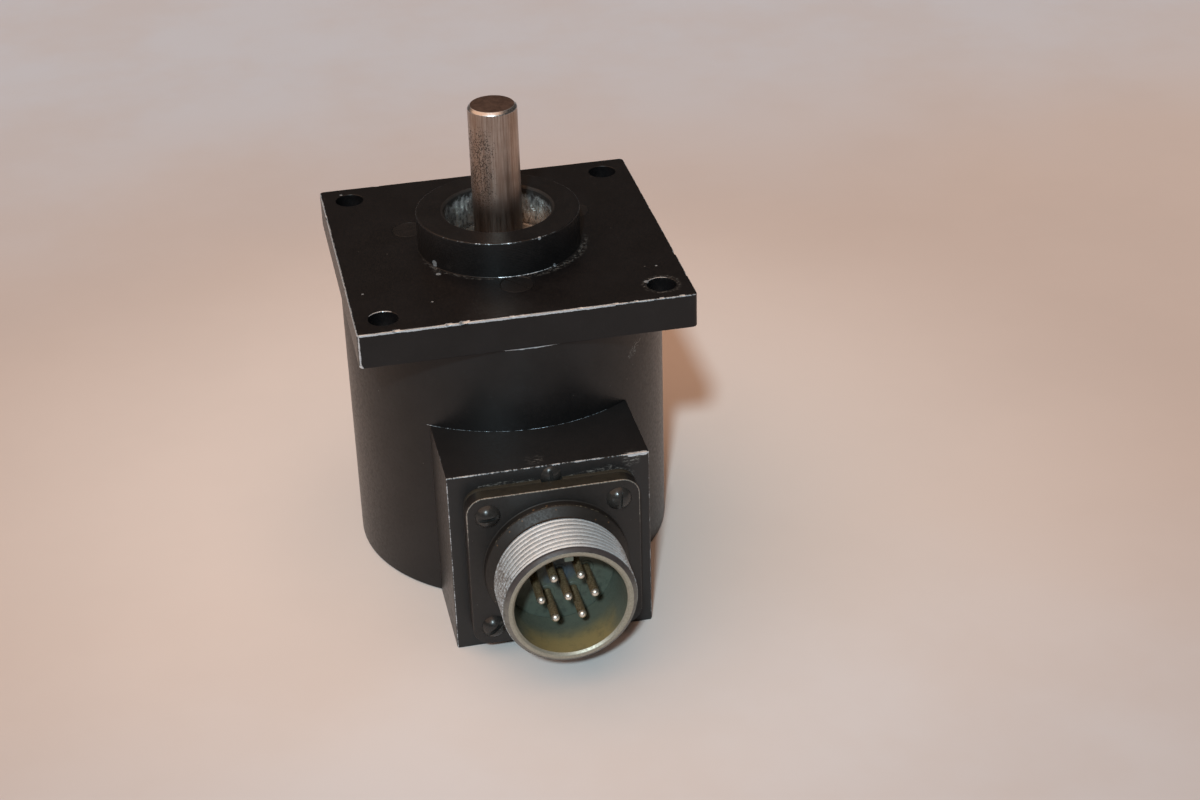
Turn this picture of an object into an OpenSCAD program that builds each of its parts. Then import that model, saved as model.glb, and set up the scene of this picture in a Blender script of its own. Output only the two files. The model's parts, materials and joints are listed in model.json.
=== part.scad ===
// Shaft rotary encoder with a square mounting flange and a round military-style signal connector.
// Units are millimetres. The origin is on the shaft axis in the plane of the mounting face.
// +Z points out along the shaft and the connector faces -Y.

/* [Mounting flange] */
// Side of the square mounting flange
flange_w = 63.5; // [60:0.1:70]
// Thickness of the mounting flange
flange_t = 6.9; // [5:0.1:8]
// Radius of the flange's vertical corners
flange_corner_r = 0.9; // [0.5:0.1:2]
// Distance between neighbouring mounting holes
mount_spacing = 52.4; // [50:0.1:54]
// Diameter of the mounting holes
mount_hole_d = 5.55; // [4:0.05:6]
// Diameter of the pilot boss
pilot_d = 31.75; // [30:0.05:33]
// Height of the pilot boss above the mounting face
pilot_h = 7.1; // [5:0.1:10]
// Diameter of the recess inside the pilot boss
recess_d = 21; // [20:0.1:21.6]

/* [Shaft] */
// Diameter of the output shaft
shaft_d = 9.525; // [9.4:0.005:9.525]
// Height of the shaft's end above the mounting face
shaft_end_z = 28.7; // [20:0.1:40]
// Chamfer on the shaft's end
shaft_chamfer = 0.6; // [0.3:0.1:1]

/* [Housing] */
// Outer diameter of the round housing
housing_d = 62.9; // [62:0.1:63.4]
// Overall depth of the housing and the mounting flange below the mounting face
housing_depth = 62.6; // [62:0.1:64]
// Width of the connector block
block_w = 38.1; // [36:0.1:40]
// Height of the connector block
block_h = 38.1; // [37:0.1:39]
// Distance from the shaft axis to the connector block's front face
block_front = 44.8; // [44:0.1:48]

/* [Connector] */
// Side of the connector's square flange
conn_flange_w = 32.54; // [31:0.02:34]
// Distance between neighbouring connector screws
conn_screw_spacing = 24.6; // [24:0.1:25.5]
// Thread diameter of the connector shell
conn_thread_d = 25.2; // [24.6:0.1:25.4]
// Distance from the connector block's face to the shell's rim
conn_reach = 18.2; // [17:0.1:20]
// Diameter of the contact pins
pin_d = 1.588; // [1.4:0.004:1.6]
// Radius of the circle that the outer contact pins lie on
pin_circle_r = 5; // [4.8:0.1:5.2]

/* [Bearings] */
// Outer diameter of the two ball bearings
bearing_od = 22.225; // [22.1:0.005:22.225]
// Width of each ball bearing
bearing_w = 7.142; // [7.1:0.001:7.2]
// Diameter of the bearing balls
ball_d = 3.969; // [3.9:0.001:4]
// Number of balls in each bearing
ball_n = 8; // [6:1:8]

/* [Code disc] */
// Radius of the code disc
disc_r = 20.5; // [20:0.1:21]
// Thickness of the code disc
disc_t = 1; // [0.5:0.1:1]
// Number of windows in the code disc's outer track
disc_windows = 60; // [24:4:64]

/* [Hidden] */
$fn = 96;

// Small allowances
eps = 0.5;          // overshoot of a cutting tool past the face it cuts
slip = 0.01;        // radial gap between parts that are fixed to each other
edge = 0.4;         // chamfer on turned edges

// Colours
black_paint = [0.10, 0.095, 0.09];
bare_steel = [0.62, 0.60, 0.57];
bright_steel = [0.78, 0.78, 0.80];
aluminium = [0.75, 0.76, 0.78];
worn_plating = [0.62, 0.62, 0.60];
brass = [0.72, 0.58, 0.32];
rubber = [0.12, 0.12, 0.13];
board_green = [0.10, 0.36, 0.20];
insert_blue = [0.20, 0.24, 0.29];
glass = [0.72, 0.80, 0.84];
plastic_black = [0.16, 0.16, 0.17];
lead_white = [0.85, 0.84, 0.80];

// Housing levels
flange_z = -flange_t;                    // underside of the mounting flange
bottom_z = -housing_depth;               // plane that the encoder stands on
housing_r = housing_d / 2;
can_r = 28.6;                            // inside of the housing
lid_seat_r = 29.8;                       // counterbore for the rear cover
lid_t = 3;                               // rim thickness of the rear cover
lid_z = bottom_z + lid_t;                // shoulder that the rear cover seats on
top_wall_t = 4;                          // housing's top wall under the flange
top_wall_z = flange_z - top_wall_t;
nose_r = 12.7;                           // bearing cartridge's nose in the flange
nose_z = -0.6;                           // shoulder above the front bearing

// Screws through the flange and into the cartridge
flange_screw_circle = 19.1;
flange_screw_head_r = 3.15;
flange_screw_head_h = 1.8;
flange_screw_r = 1.5;
flange_screw_len = 13.9;
flange_slot_turn = 35;
sunk = 0.05;                             // depth of a flat head below its face
oring_mid_r = 27.5;
oring_w = 1.9;
oring_t = 1.3;
oring_gap = 0.1;

// Bearing levels
shaft_r = shaft_d / 2;
bearing_r = bearing_od / 2;
front_z = nose_z;                        // front bearing's upper face
rear_z = -25;                            // rear bearing's upper face
pitch_r = (bearing_r + shaft_r) / 2;     // circle of the ball centres
ball_r = ball_d / 2;
groove_gap = 0.02;                       // running gap between balls and their grooves
inner_land_r = 6.75;
outer_land_r = 9.2;
shield_t = 0.3;
shield_seat = 0.45;                      // depth of the step that holds a shield
shield_in = 0.25;                        // depth of a shield's middle below the bearing's face
shield_lip = 0.5;                        // how far a shield reaches into the outer ring
shield_gap = 0.3;                        // between a shield and the turning inner ring
cage_half_h = 2.5;
pocket_gap = 0.06;
preload_z = rear_z - bearing_w;          // upper side of the preload washer
circlip_z = preload_z - 1.06;
circlip_t = 0.9;
circlip_groove_r = 11.75;
cartridge_flange_t = 4;
cartridge_flange_r = 27.5;
cartridge_flange_z = top_wall_z - cartridge_flange_t;
cartridge_tube_r = 14;
cartridge_z = -35.5;
tap_r = 1.55;                            // threaded holes for the 3 mm screws
tap_depth = 3.2;                         // blind threaded holes in the cartridge's underside

// Shaft levels
clip_t = 0.635;
clip_groove_r = 4.45;
clip_groove_w = 0.7;
stub_r = 4;                              // shaft's slimmer inner end
stub_z = -33.4;
shaft_bottom_z = -45;

// Code disc assembly
hub_top_z = -36;
disc_top_z = -41;
hub_r = 9.5;
hub_pilot_r = 6;
clamp_t = 1.2;
hub_screw_circle = 7.7;
hub_screw_r = 0.8;
hub_screw_turn = 45;                     // keeps the clamp screws clear of the set screws
track_in = 17;
track_out = 19.6;
track_r = (track_in + track_out) / 2;
window_w = 0.9;
index_r = 14.5;                          // centre of the index window
set_screw_z = -38.5;
set_screw_r = 1.25;

// Light source and sensor, on the +Y side
holder_bottom_z = -39.6;
holder_foot_t = 2.5;
holder_screw_x = 7;
holder_hole_r = 1.1;
led_bore_r = 1.95;
led_back_z = -34.5;
led_lead_x = 1.27;
reticle_top_z = -42.4;
reticle_t = 0.6;

// Circuit board
board_top_z = -49;
board_t = 1.6;
board_bottom_z = board_top_z - board_t;
board_r = 28;
board_hole_r = 1.7;
standoff_circle = 24.5;
standoff_af = 5;                         // hexagon across flats
standoff_stud_r = 1.48;
spigot_z = lid_z + 3;                    // top of the rear cover's spigot
spigot_r = 28.5;
spigot_in = 20;
lid_groove_z = lid_z + 1.5;
lid_groove_w = 2.2;
lid_groove_r = 27;
lid_oring_t = 1.58;

// Connector, measured along its own axis from the shaft axis outwards
conn_z = bottom_z + block_h / 2 - 0.03;  // height of the connector's axis
conn_bore_r = 13.5;
gasket_t = 1;
conn_flange_t = 2.9;
conn_flange_back = block_front + gasket_t;
conn_flange_front = conn_flange_back + conn_flange_t;
conn_corner_r = 3.5;
collar_r = 13.6;
collar_end = 50.3;
undercut_r = 11.9;                       // groove between the collar and the thread
undercut_start = 51.7;
thread_r = conn_thread_d / 2;
thread_start = 53.2;
thread_end = 62;
thread_lead = 0.3;                       // taper at each end of the thread
rim = block_front + conn_reach;
rim_r = 12.2;
rim_chamfer = 0.6;
plate_hole_r = 1.6;
socket_r = 10.5;
skirt_r = 13.3;
skirt_back = 38.9;
insert_front = 51.5;
insert_back = 40.5;
key_w = 1.6;
key_h = 1.2;
pin_tip = 60.5;
pin_shoulder = 50.5;
pin_body_r = 1.2;
cup_back = 34.5;
cup_bore_r = 0.85;
cup_depth = 4;
header_front = 25;                       // header face that the signal leads leave from
header_z = -47.2;
header_pitch = 3;
lead_r = 0.6;

// Angles
third = [30, 150, 270];
corner = [45, 135, 225, 315];

// ---------- Shared shapes ----------

// Ring between two radii, from z0 up to z1
module ring(r_out, r_in, z0, z1) {
    translate([0, 0, z0]) difference() {
        cylinder(r = r_out, h = z1 - z0);
        translate([0, 0, -eps]) cylinder(r = r_in, h = z1 - z0 + 2 * eps);
    }
}

// Solid disc from z0 up to z1
module rod(r, z0, z1) {
    translate([0, 0, z0]) cylinder(r = r, h = z1 - z0);
}

// Places its children on a circle, at each of the given angles
module around(radius, angles) {
    for (a = angles) rotate([0, 0, a]) translate([radius, 0, 0]) children();
}

// Places its children at the four corners of a square
module at_corners(spacing) {
    for (sx = [-1, 1], sy = [-1, 1]) translate([sx * spacing / 2, sy * spacing / 2, 0]) children();
}

// Turns its children so that their +Z points along the connector, with +Y upwards
module on_connector() {
    translate([0, 0, conn_z]) rotate([90, 0, 0]) children();
}

// Square plate with rounded corners, standing on z0
module rounded_plate(w, r, z0, z1) {
    inner = w - 2 * r;
    translate([0, 0, z0]) {
        translate([-w / 2, -inner / 2, 0]) cube([w, inner, z1 - z0]);
        translate([-inner / 2, -w / 2, 0]) cube([inner, w, z1 - z0]);
        at_corners(inner) cylinder(r = r, h = z1 - z0, $fn = 48);
    }
}

// Countersunk screw with its head's face at z = 0, pointing down
module flat_head_screw(head_r, head_h, r, len) {
    slot_w = 0.8;
    slot_depth = 0.7;
    difference() {
        union() {
            translate([0, 0, -head_h]) cylinder(r1 = r, r2 = head_r, h = head_h, $fn = 48);
            rod(r, -len, -head_h + 0.01, $fn = 48);
        }
        translate([-head_r - eps, -slot_w / 2, -slot_depth])
            cube([2 * (head_r + eps), slot_w, 2 * slot_depth]);
    }
}

// Cutting tool for the seat of a flat_head_screw
module flat_head_seat(head_r, head_h, r, depth) {
    gap = 0.06;
    translate([0, 0, -head_h - gap]) cylinder(r1 = r + gap, r2 = head_r + gap, h = head_h + gap, $fn = 48);
    rod(head_r + gap, -0.001, eps, $fn = 48);
    rod(r + gap, -depth, -head_h, $fn = 48);
}

// Slotted screw with a domed head that sits on z = 0 and points down
module dome_head_screw(head_r, head_h, r, len, slot_angle) {
    dome_r = (head_r * head_r + head_h * head_h) / (2 * head_h);
    slot_w = 0.7;
    slot_depth = head_h * 0.45;
    difference() {
        union() {
            intersection() {
                translate([0, 0, head_h - dome_r]) sphere(r = dome_r);
                cylinder(r = head_r, h = head_h, $fn = 48);
            }
            rod(r, -len, 0.01, $fn = 48);
        }
        rotate([0, 0, slot_angle]) translate([-head_r - eps, -slot_w / 2, head_h - slot_depth])
            cube([2 * (head_r + eps), slot_w, 2 * head_h]);
    }
}

// Vectors for swept tubes
function unit(v) = v / norm(v);
function tangent(p, i) = unit(p[min(i + 1, len(p) - 1)] - p[max(i - 1, 0)]);
function bezier(a, b, c, d, t) = pow(1 - t, 3) * a + 3 * t * pow(1 - t, 2) * b
    + 3 * t * t * (1 - t) * c + pow(t, 3) * d;

// Eight-sided tube swept along points whose tangents are never parallel to X
module swept_tube(p, r) {
    sides = 8;
    n = len(p);
    ring_points = [for (i = [0:n - 1], j = [0:sides - 1])
        let (t = tangent(p, i), u = unit(cross(t, [1, 0, 0])), v = cross(t, u), a = 360 * j / sides)
        p[i] + r * (cos(a) * u + sin(a) * v)];
    walls = [for (i = [0:n - 2], j = [0:sides - 1], half = [0, 1])
        let (a = i * sides + j, b = i * sides + (j + 1) % sides)
        half == 0 ? [a, a + sides, b] : [b, a + sides, b + sides]];
    caps = [[for (j = [0:sides - 1]) j], [for (j = [0:sides - 1]) (n - 1) * sides + sides - 1 - j]];
    polyhedron(points = ring_points, faces = concat(walls, caps), convexity = 4);
}

// Shaft or bore clip: a split ring with two drilled lugs. side is 1 for lugs outside, -1 for inside.
module split_ring(r_out, r_in, t, z, side) {
    lug_r = 1.1;
    lug_in = 0.3;
    lug_angle = 17;
    hole_r = 0.45;
    gap_w = 2.2;
    lug_at = side > 0 ? r_out - lug_in : r_in + lug_in;
    translate([0, 0, z]) difference() {
        union() {
            ring(r_out, r_in, 0, t);
            around(lug_at, [lug_angle, -lug_angle]) cylinder(r = lug_r, h = t, $fn = 32);
        }
        translate([0, -gap_w / 2, -eps]) cube([r_out + 3, gap_w, t + 2 * eps]);
        around(lug_at, [lug_angle, -lug_angle]) rod(hole_r, -eps, t + eps, $fn = 24);
    }
}

// ---------- Fixed parts at the front ----------

module mounting_flange() color(black_paint) difference() {
    union() {
        rounded_plate(flange_w, flange_corner_r, flange_z, 0);
        rod(pilot_d / 2, -1, pilot_h - edge);
        translate([0, 0, pilot_h - edge]) cylinder(r1 = pilot_d / 2, r2 = pilot_d / 2 - edge, h = edge);
    }
    rod(recess_d / 2, nose_z - eps, pilot_h + eps);
    translate([0, 0, pilot_h - edge]) cylinder(r1 = recess_d / 2, r2 = recess_d / 2 + 2 * edge, h = 2 * edge);
    rod(nose_r + slip, flange_z - eps, nose_z);
    at_corners(mount_spacing) rod(mount_hole_d / 2, flange_z - eps, eps);
    around(flange_screw_circle, third) translate([0, 0, -sunk])
        flat_head_seat(flange_screw_head_r, flange_screw_head_h, flange_screw_r, flange_t + 1);
    ring(oring_mid_r + oring_w / 2 + oring_gap, oring_mid_r - oring_w / 2 - oring_gap,
        flange_z - eps, flange_z + oring_t);
}

module flange_screws() color(black_paint) around(flange_screw_circle, third) translate([0, 0, -sunk])
    rotate([0, 0, flange_slot_turn])
        flat_head_screw(flange_screw_head_r, flange_screw_head_h, flange_screw_r, flange_screw_len);

// Squeezed ring between the flange and the housing's top wall
module flange_oring() color(rubber) rotate_extrude() translate([oring_mid_r, flange_z + oring_t / 2]) {
    square([oring_w - oring_t, oring_t], center = true);
    for (s = [-1, 1]) translate([s * (oring_w - oring_t) / 2, 0]) circle(d = oring_t, $fn = 32);
}

module bearing_cartridge() color(aluminium) difference() {
    union() {
        rod(nose_r, top_wall_z, nose_z);
        rod(cartridge_flange_r, cartridge_flange_z, top_wall_z);
        rod(cartridge_tube_r, cartridge_z, cartridge_flange_z);
    }
    rod(bearing_r + slip, cartridge_z - eps, nose_z + eps);
    rod(circlip_groove_r, circlip_z - circlip_t, circlip_z);
    around(flange_screw_circle, third) rod(tap_r, cartridge_flange_z - eps, top_wall_z + eps, $fn = 32);
    around(standoff_circle, corner)
        rod(tap_r, cartridge_flange_z - eps, cartridge_flange_z + tap_depth, $fn = 32);
    for (s = [-1, 1]) translate([s * holder_screw_x, track_r, 0])
        rod(holder_hole_r - 0.05, cartridge_flange_z - eps, cartridge_flange_z + tap_depth, $fn = 32);
}

// ---------- Housing ----------

module housing() color(black_paint) difference() {
    union() {
        rod(housing_r, bottom_z + edge, flange_z);
        translate([0, 0, bottom_z]) cylinder(r1 = housing_r - edge, r2 = housing_r, h = edge);
        translate([-block_w / 2, -block_front, bottom_z]) cube([block_w, block_front - 20, block_h]);
    }
    rod(nose_r + 0.1, top_wall_z - eps, flange_z + eps);
    rod(can_r, bottom_z - eps, top_wall_z);
    rod(lid_seat_r, bottom_z - eps, lid_z);
    around(flange_screw_circle, third) rod(flange_screw_r + 0.1, top_wall_z - eps, flange_z + eps, $fn = 48);
    on_connector() {
        rod(conn_bore_r, 20, block_front + eps);
        at_corners(conn_screw_spacing) rod(1.42, block_front - 7, block_front + eps, $fn = 32);
    }
    block_screw_place() rod(block_screw_r + 0.05, -block_screw_len - 0.2, eps, $fn = 32);
}

// Domed screw on the block's face, above the connector. The gasket is notched round its head.
block_screw_x = 0.4;
block_screw_drop = 2.3;                  // from the block's top face to the screw's axis
block_screw_head_r = 1.95;
block_screw_head_h = 0.95;
block_screw_r = 1.25;
block_screw_len = 4;

module block_screw_place() {
    translate([block_screw_x, -block_front, bottom_z + block_h - block_screw_drop])
        rotate([90, 0, 0]) children();
}

module block_screw() color(black_paint) block_screw_place()
    dome_head_screw(block_screw_head_r, block_screw_head_h, block_screw_r, block_screw_len, 95);

module rear_cover() color(black_paint) difference() {
    union() {
        rod(lid_seat_r - 0.1, bottom_z + edge, lid_z);
        translate([0, 0, bottom_z]) cylinder(r1 = lid_seat_r - 0.1 - edge, r2 = lid_seat_r - 0.1, h = edge);
        rod(spigot_r, lid_z, spigot_z);
    }
    rod(spigot_in, lid_z, spigot_z + eps);
    ring(spigot_r + eps, lid_groove_r, lid_groove_z - lid_groove_w / 2, lid_groove_z + lid_groove_w / 2);
    around(standoff_circle, corner) translate([0, 0, bottom_z + sunk]) mirror([0, 0, 1])
        flat_head_seat(3, 1.7, 1.5, lid_t + 4);
}

module rear_cover_oring() color(rubber) rotate_extrude()
    translate([lid_groove_r + lid_oring_t / 2, lid_groove_z]) {
        square([lid_oring_t, 0.4], center = true);
        for (s = [-1, 1]) translate([0, s * 0.2]) circle(d = lid_oring_t, $fn = 32);
    }

module rear_cover_screws() color(bright_steel) around(standoff_circle, corner)
    translate([0, 0, bottom_z + sunk]) mirror([0, 0, 1]) flat_head_screw(3, 1.7, 1.45, 9);

// ---------- Bearings ----------

// Torus that the balls run in
module ball_track(z) {
    rotate_extrude() translate([pitch_r, z - bearing_w / 2]) circle(r = ball_r + groove_gap, $fn = 64);
}

module outer_ring(z) color(bright_steel) difference() {
    ring(bearing_r, outer_land_r, z - bearing_w, z);
    ball_track(z);
    for (s = [-1, 1]) translate([0, 0, z - bearing_w / 2 + s * bearing_w / 2])
        rod(outer_land_r + shield_lip, -shield_seat, shield_seat);
}

module inner_ring(z) color(bright_steel) difference() {
    ring(inner_land_r, shaft_r + slip, z - bearing_w, z);
    ball_track(z);
}

// Two thin shields, one just inside each face
module shields(z) color(bare_steel) for (s = [-1, 1])
    translate([0, 0, z - bearing_w / 2 + s * (bearing_w / 2 - shield_in)])
        ring(outer_land_r + shield_lip - slip, inner_land_r + shield_gap, -shield_t / 2, shield_t / 2);

module balls(z) color(bright_steel) around(pitch_r, [for (i = [0:ball_n - 1]) i * 360 / ball_n])
    translate([0, 0, z - bearing_w / 2]) sphere(r = ball_r, $fn = 32);

module cage(z) color(brass) translate([0, 0, z - bearing_w / 2]) difference() {
    ring(8.75, 7.15, -cage_half_h, cage_half_h);
    for (i = [0:ball_n - 1]) rotate([0, 90, i * 360 / ball_n]) rod(ball_r + pocket_gap, 5, 11, $fn = 48);
}

module front_outer_ring() outer_ring(front_z);
module rear_outer_ring() outer_ring(rear_z);
module front_shields() shields(front_z);
module rear_shields() shields(rear_z);
module front_inner_ring() inner_ring(front_z);
module rear_inner_ring() inner_ring(rear_z);
module front_bearing_balls() balls(front_z);
module rear_bearing_balls() balls(rear_z);
module front_bearing_cage() cage(front_z);
module rear_bearing_cage() cage(rear_z);

module outer_spacer() color(aluminium) ring(bearing_r - 0.02, 9.9, rear_z, front_z - bearing_w);
module inner_spacer() color(bare_steel) ring(6.2, shaft_r + slip, rear_z, front_z - bearing_w);

// Three-wave spring washer that preloads the rear bearing
module preload_washer() {
    segments = 48;
    wave = 0.32;
    t = 0.35;
    waves = 3;
    r_in = 9.6;
    r_out = 10.9;
    mid_z = (preload_z + circlip_z) / 2;
    corners = [[r_in, -t / 2], [r_out, -t / 2], [r_out, t / 2], [r_in, t / 2]];
    points = [for (i = [0:segments - 1], c = corners) let (a = 360 * i / segments)
        [c[0] * cos(a), c[0] * sin(a), mid_z + c[1] + wave * sin(waves * a)]];
    faces = [for (i = [0:segments - 1], j = [0:3], half = [0, 1])
        let (a = i * 4 + j, b = i * 4 + (j + 1) % 4,
            c = ((i + 1) % segments) * 4 + j, d = ((i + 1) % segments) * 4 + (j + 1) % 4)
        half == 0 ? [a, b, c] : [b, d, c]];
    color(bare_steel) polyhedron(points = points, faces = faces, convexity = 4);
}

module bearing_retaining_ring() color(bare_steel)
    split_ring(circlip_groove_r - 0.05, 10.1, circlip_t - 0.04, circlip_z - circlip_t + 0.02, -1);

// ---------- Shaft assembly ----------

module shaft() color(bare_steel) difference() {
    union() {
        rod(shaft_r, stub_z, shaft_end_z - shaft_chamfer);
        translate([0, 0, shaft_end_z - shaft_chamfer])
            cylinder(r1 = shaft_r, r2 = shaft_r - shaft_chamfer, h = shaft_chamfer);
        rod(stub_r, shaft_bottom_z + edge, stub_z);
        translate([0, 0, shaft_bottom_z]) cylinder(r1 = stub_r - edge, r2 = stub_r, h = edge);
    }
    for (z = [front_z + clip_groove_w, preload_z])
        ring(shaft_r + eps, clip_groove_r, z - clip_groove_w, z);
}

module front_shaft_clip() color(bare_steel) split_ring(5.85, clip_groove_r + slip, clip_t, front_z, 1);
module rear_shaft_clip() color(bare_steel)
    split_ring(5.85, clip_groove_r + slip, clip_t, preload_z - clip_t, 1);

module disc_hub() color(aluminium) difference() {
    union() {
        rod(hub_r, disc_top_z, hub_top_z);
        rod(hub_pilot_r, disc_top_z - disc_t - clamp_t, disc_top_z);
    }
    rod(stub_r + slip, disc_top_z - disc_t - clamp_t - eps, hub_top_z + eps);
    for (a = [0, 90]) translate([0, 0, set_screw_z]) rotate([0, 90, a])
        rod(set_screw_r + slip, 2, hub_r + eps, $fn = 32);
    hub_screws_at() rod(hub_screw_r + slip, disc_top_z - eps, disc_top_z + 3.4, $fn = 32);
}

module hub_screws_at() {
    around(hub_screw_circle, [for (i = [0:2]) hub_screw_turn + i * 120]) children();
}

module hub_set_screws() color(bare_steel) for (a = [0, 90]) translate([0, 0, set_screw_z]) rotate([0, 90, a])
    difference() {
        rod(set_screw_r, stub_r + slip, hub_r - 0.4, $fn = 32);
        rod(set_screw_r / 2, hub_r - 1.8, hub_r, $fn = 6);
    }

// Cutting tool for one window of the code disc, from radius r0 out to r1
module window(r0, r1) {
    translate([r0, -window_w / 2, disc_top_z - disc_t - eps]) cube([r1 - r0, window_w, disc_t + 2 * eps]);
}

module code_disc() color(glass) difference() {
    ring(disc_r, hub_pilot_r + 0.03, disc_top_z - disc_t, disc_top_z);
    for (i = [0:disc_windows - 1]) rotate([0, 0, i * 360 / disc_windows]) window(track_in, track_out);
    window(index_r - 1, index_r + 1);
    hub_screws_at() rod(hub_screw_r + 0.1, disc_top_z - disc_t - eps, disc_top_z + eps, $fn = 32);
}

module disc_clamp() color(aluminium) difference() {
    ring(hub_r - 0.1, hub_pilot_r + 0.05, disc_top_z - disc_t - clamp_t, disc_top_z - disc_t);
    hub_screws_at() rod(hub_screw_r + 0.1, disc_top_z - disc_t - clamp_t - eps, disc_top_z, $fn = 32);
}

module disc_clamp_screws() color(bright_steel) hub_screws_at()
    translate([0, 0, disc_top_z - disc_t - clamp_t]) mirror([0, 0, 1])
        dome_head_screw(1.5, 0.9, hub_screw_r, 5.4, 0);

// ---------- Light source and sensor ----------

module led_holder() {
    foot_w = 18.4;
    post_w = 8.8;
    depth = 8;
    back = -3.4;
    bore_top_z = -33;
    lead_slot = [4, 10, 3];
    color(plastic_black) translate([0, track_r, 0]) difference() {
        union() {
            translate([-foot_w / 2, back, cartridge_flange_z - holder_foot_t])
                cube([foot_w, depth, holder_foot_t]);
            translate([-post_w / 2, back, holder_bottom_z])
                cube([post_w, depth, cartridge_flange_z - holder_bottom_z]);
        }
        rod(led_bore_r, holder_bottom_z - eps, bore_top_z, $fn = 48);
        translate([-lead_slot[0] / 2, 0, bore_top_z - lead_slot[2]]) cube(lead_slot);
        for (s = [-1, 1]) translate([s * holder_screw_x, 0, 0])
            rod(holder_hole_r, cartridge_flange_z - holder_foot_t - 2, cartridge_flange_z + 1, $fn = 32);
    }
}

module led_holder_screws() color(bright_steel) for (s = [-1, 1])
    translate([s * holder_screw_x, track_r, cartridge_flange_z - holder_foot_t]) mirror([0, 0, 1])
        dome_head_screw(1.8, 1.3, 1, 5.4, 20);

// Small lamp with its dome towards the code disc
module led() {
    body_r = 1.5;
    rim_r = 1.9;
    rim_t = 0.9;
    dome_r = 1.45;
    dome_z = -38.6;
    color(glass) translate([0, track_r, 0]) {
        rod(body_r, dome_z, led_back_z, $fn = 32);
        rod(rim_r, led_back_z - rim_t, led_back_z, $fn = 32);
        translate([0, 0, dome_z]) sphere(r = dome_r, $fn = 32);
    }
}

// Route of one lamp lead in the YZ plane, down to the circuit board
led_route = [[18.3, -34.5], [18.3, -34.2], [18.6, -33.8], [19.4, -33.5], [21, -33.5], [23, -33.6],
    [24.6, -34], [25.6, -35], [26, -37], [26.1, -40], [26.1, -44], [26, -47], [26, -49]];

module led_leads() color(lead_white) for (s = [-1, 1])
    swept_tube([for (q = led_route) [s * led_lead_x, q[0], q[1]]], 0.32);

// Block of a given width and depth, centred under the disc's outer track, from z0 up to z1
module track_block(w, d, z0, z1) {
    translate([-w / 2, track_r - d / 2, z0]) cube([w, d, z1 - z0]);
}

module reticle() color(glass) track_block(9.2, 6, reticle_top_z - reticle_t, reticle_top_z);

module reticle_holder() color(plastic_black) difference() {
    track_block(10, 6.8, board_top_z, reticle_top_z - reticle_t);
    track_block(6.4, 4.4, board_top_z - eps, reticle_top_z);
}

module sensor_array() color(insert_blue) track_block(5.8, 3.8, board_top_z, board_top_z + 2);

// ---------- Circuit board ----------

module main_board() color(board_green) difference() {
    rod(board_r, board_bottom_z, board_top_z);
    around(standoff_circle, corner) rod(board_hole_r, board_bottom_z - eps, board_top_z + eps, $fn = 32);
}

// Hexagonal pillar with a threaded stud on top and a blind threaded hole below
module standoff(z0, z1, stud, hole) {
    difference() {
        union() {
            rod(standoff_af / sqrt(3), z0, z1, $fn = 6);
            rod(standoff_stud_r, z1 - 0.1, z1 + stud, $fn = 32);
        }
        rod(tap_r, z0 - eps, z0 + hole, $fn = 32);
    }
}

module upper_standoffs() color(brass) around(standoff_circle, corner)
    standoff(board_top_z, cartridge_flange_z, 3, 5);
module lower_standoffs() color(brass) around(standoff_circle, corner)
    standoff(spigot_z, board_bottom_z, board_t + 4, 3.6);

// Dual in-line chip with its legs standing on the board
module chip(x, y) {
    body = [6.4, 17.8, 2.4];
    leg = [0.7, 0.6, 1.9];
    leg_n = 7;
    pitch = 2.54;
    translate([x, y, board_top_z]) {
        translate([-body[0] / 2, -body[1] / 2, 0.6]) cube(body);
        for (s = [-1, 1], i = [0:leg_n - 1])
            translate([s * 3.5 - leg[0] / 2, (i - (leg_n - 1) / 2) * pitch - leg[1] / 2, 0]) cube(leg);
    }
}

module driver_chips() color(plastic_black) for (s = [-1, 1]) chip(s * 13, 1);

// Three round cans in a row, each with a slightly smaller top
module capacitors() {
    spacing = 7.5;
    row_y = -12.5;
    can_h = 4.2;
    top_h = 0.3;
    color(aluminium) for (i = [-1:1]) translate([i * spacing, row_y, board_top_z]) {
        rod(2.5, 0, can_h, $fn = 48);
        rod(2.1, can_h, can_h + top_h, $fn = 48);
    }
}

module board_header() {
    size = [23, 5, 3.6];
    color(plastic_black) translate([-size[0] / 2, -header_front, board_top_z]) cube(size);
}

// ---------- Connector ----------

// Contact places seen from the front: one in the middle, six around it
contact_places = concat([[0, 0]], [for (a = [0:60:300]) pin_circle_r * [cos(a), sin(a)]]);

module connector_gasket() color(rubber) difference() {
    on_connector() difference() {
        rounded_plate(conn_flange_w, conn_corner_r, block_front, conn_flange_back);
        rod(conn_bore_r, block_front - eps, conn_flange_back + eps);
        at_corners(conn_screw_spacing)
            rod(plate_hole_r, block_front - eps, conn_flange_back + eps, $fn = 32);
    }
    block_screw_place() rod(block_screw_head_r + 0.15, -eps, conn_flange_back - block_front + eps, $fn = 48);
}

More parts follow.
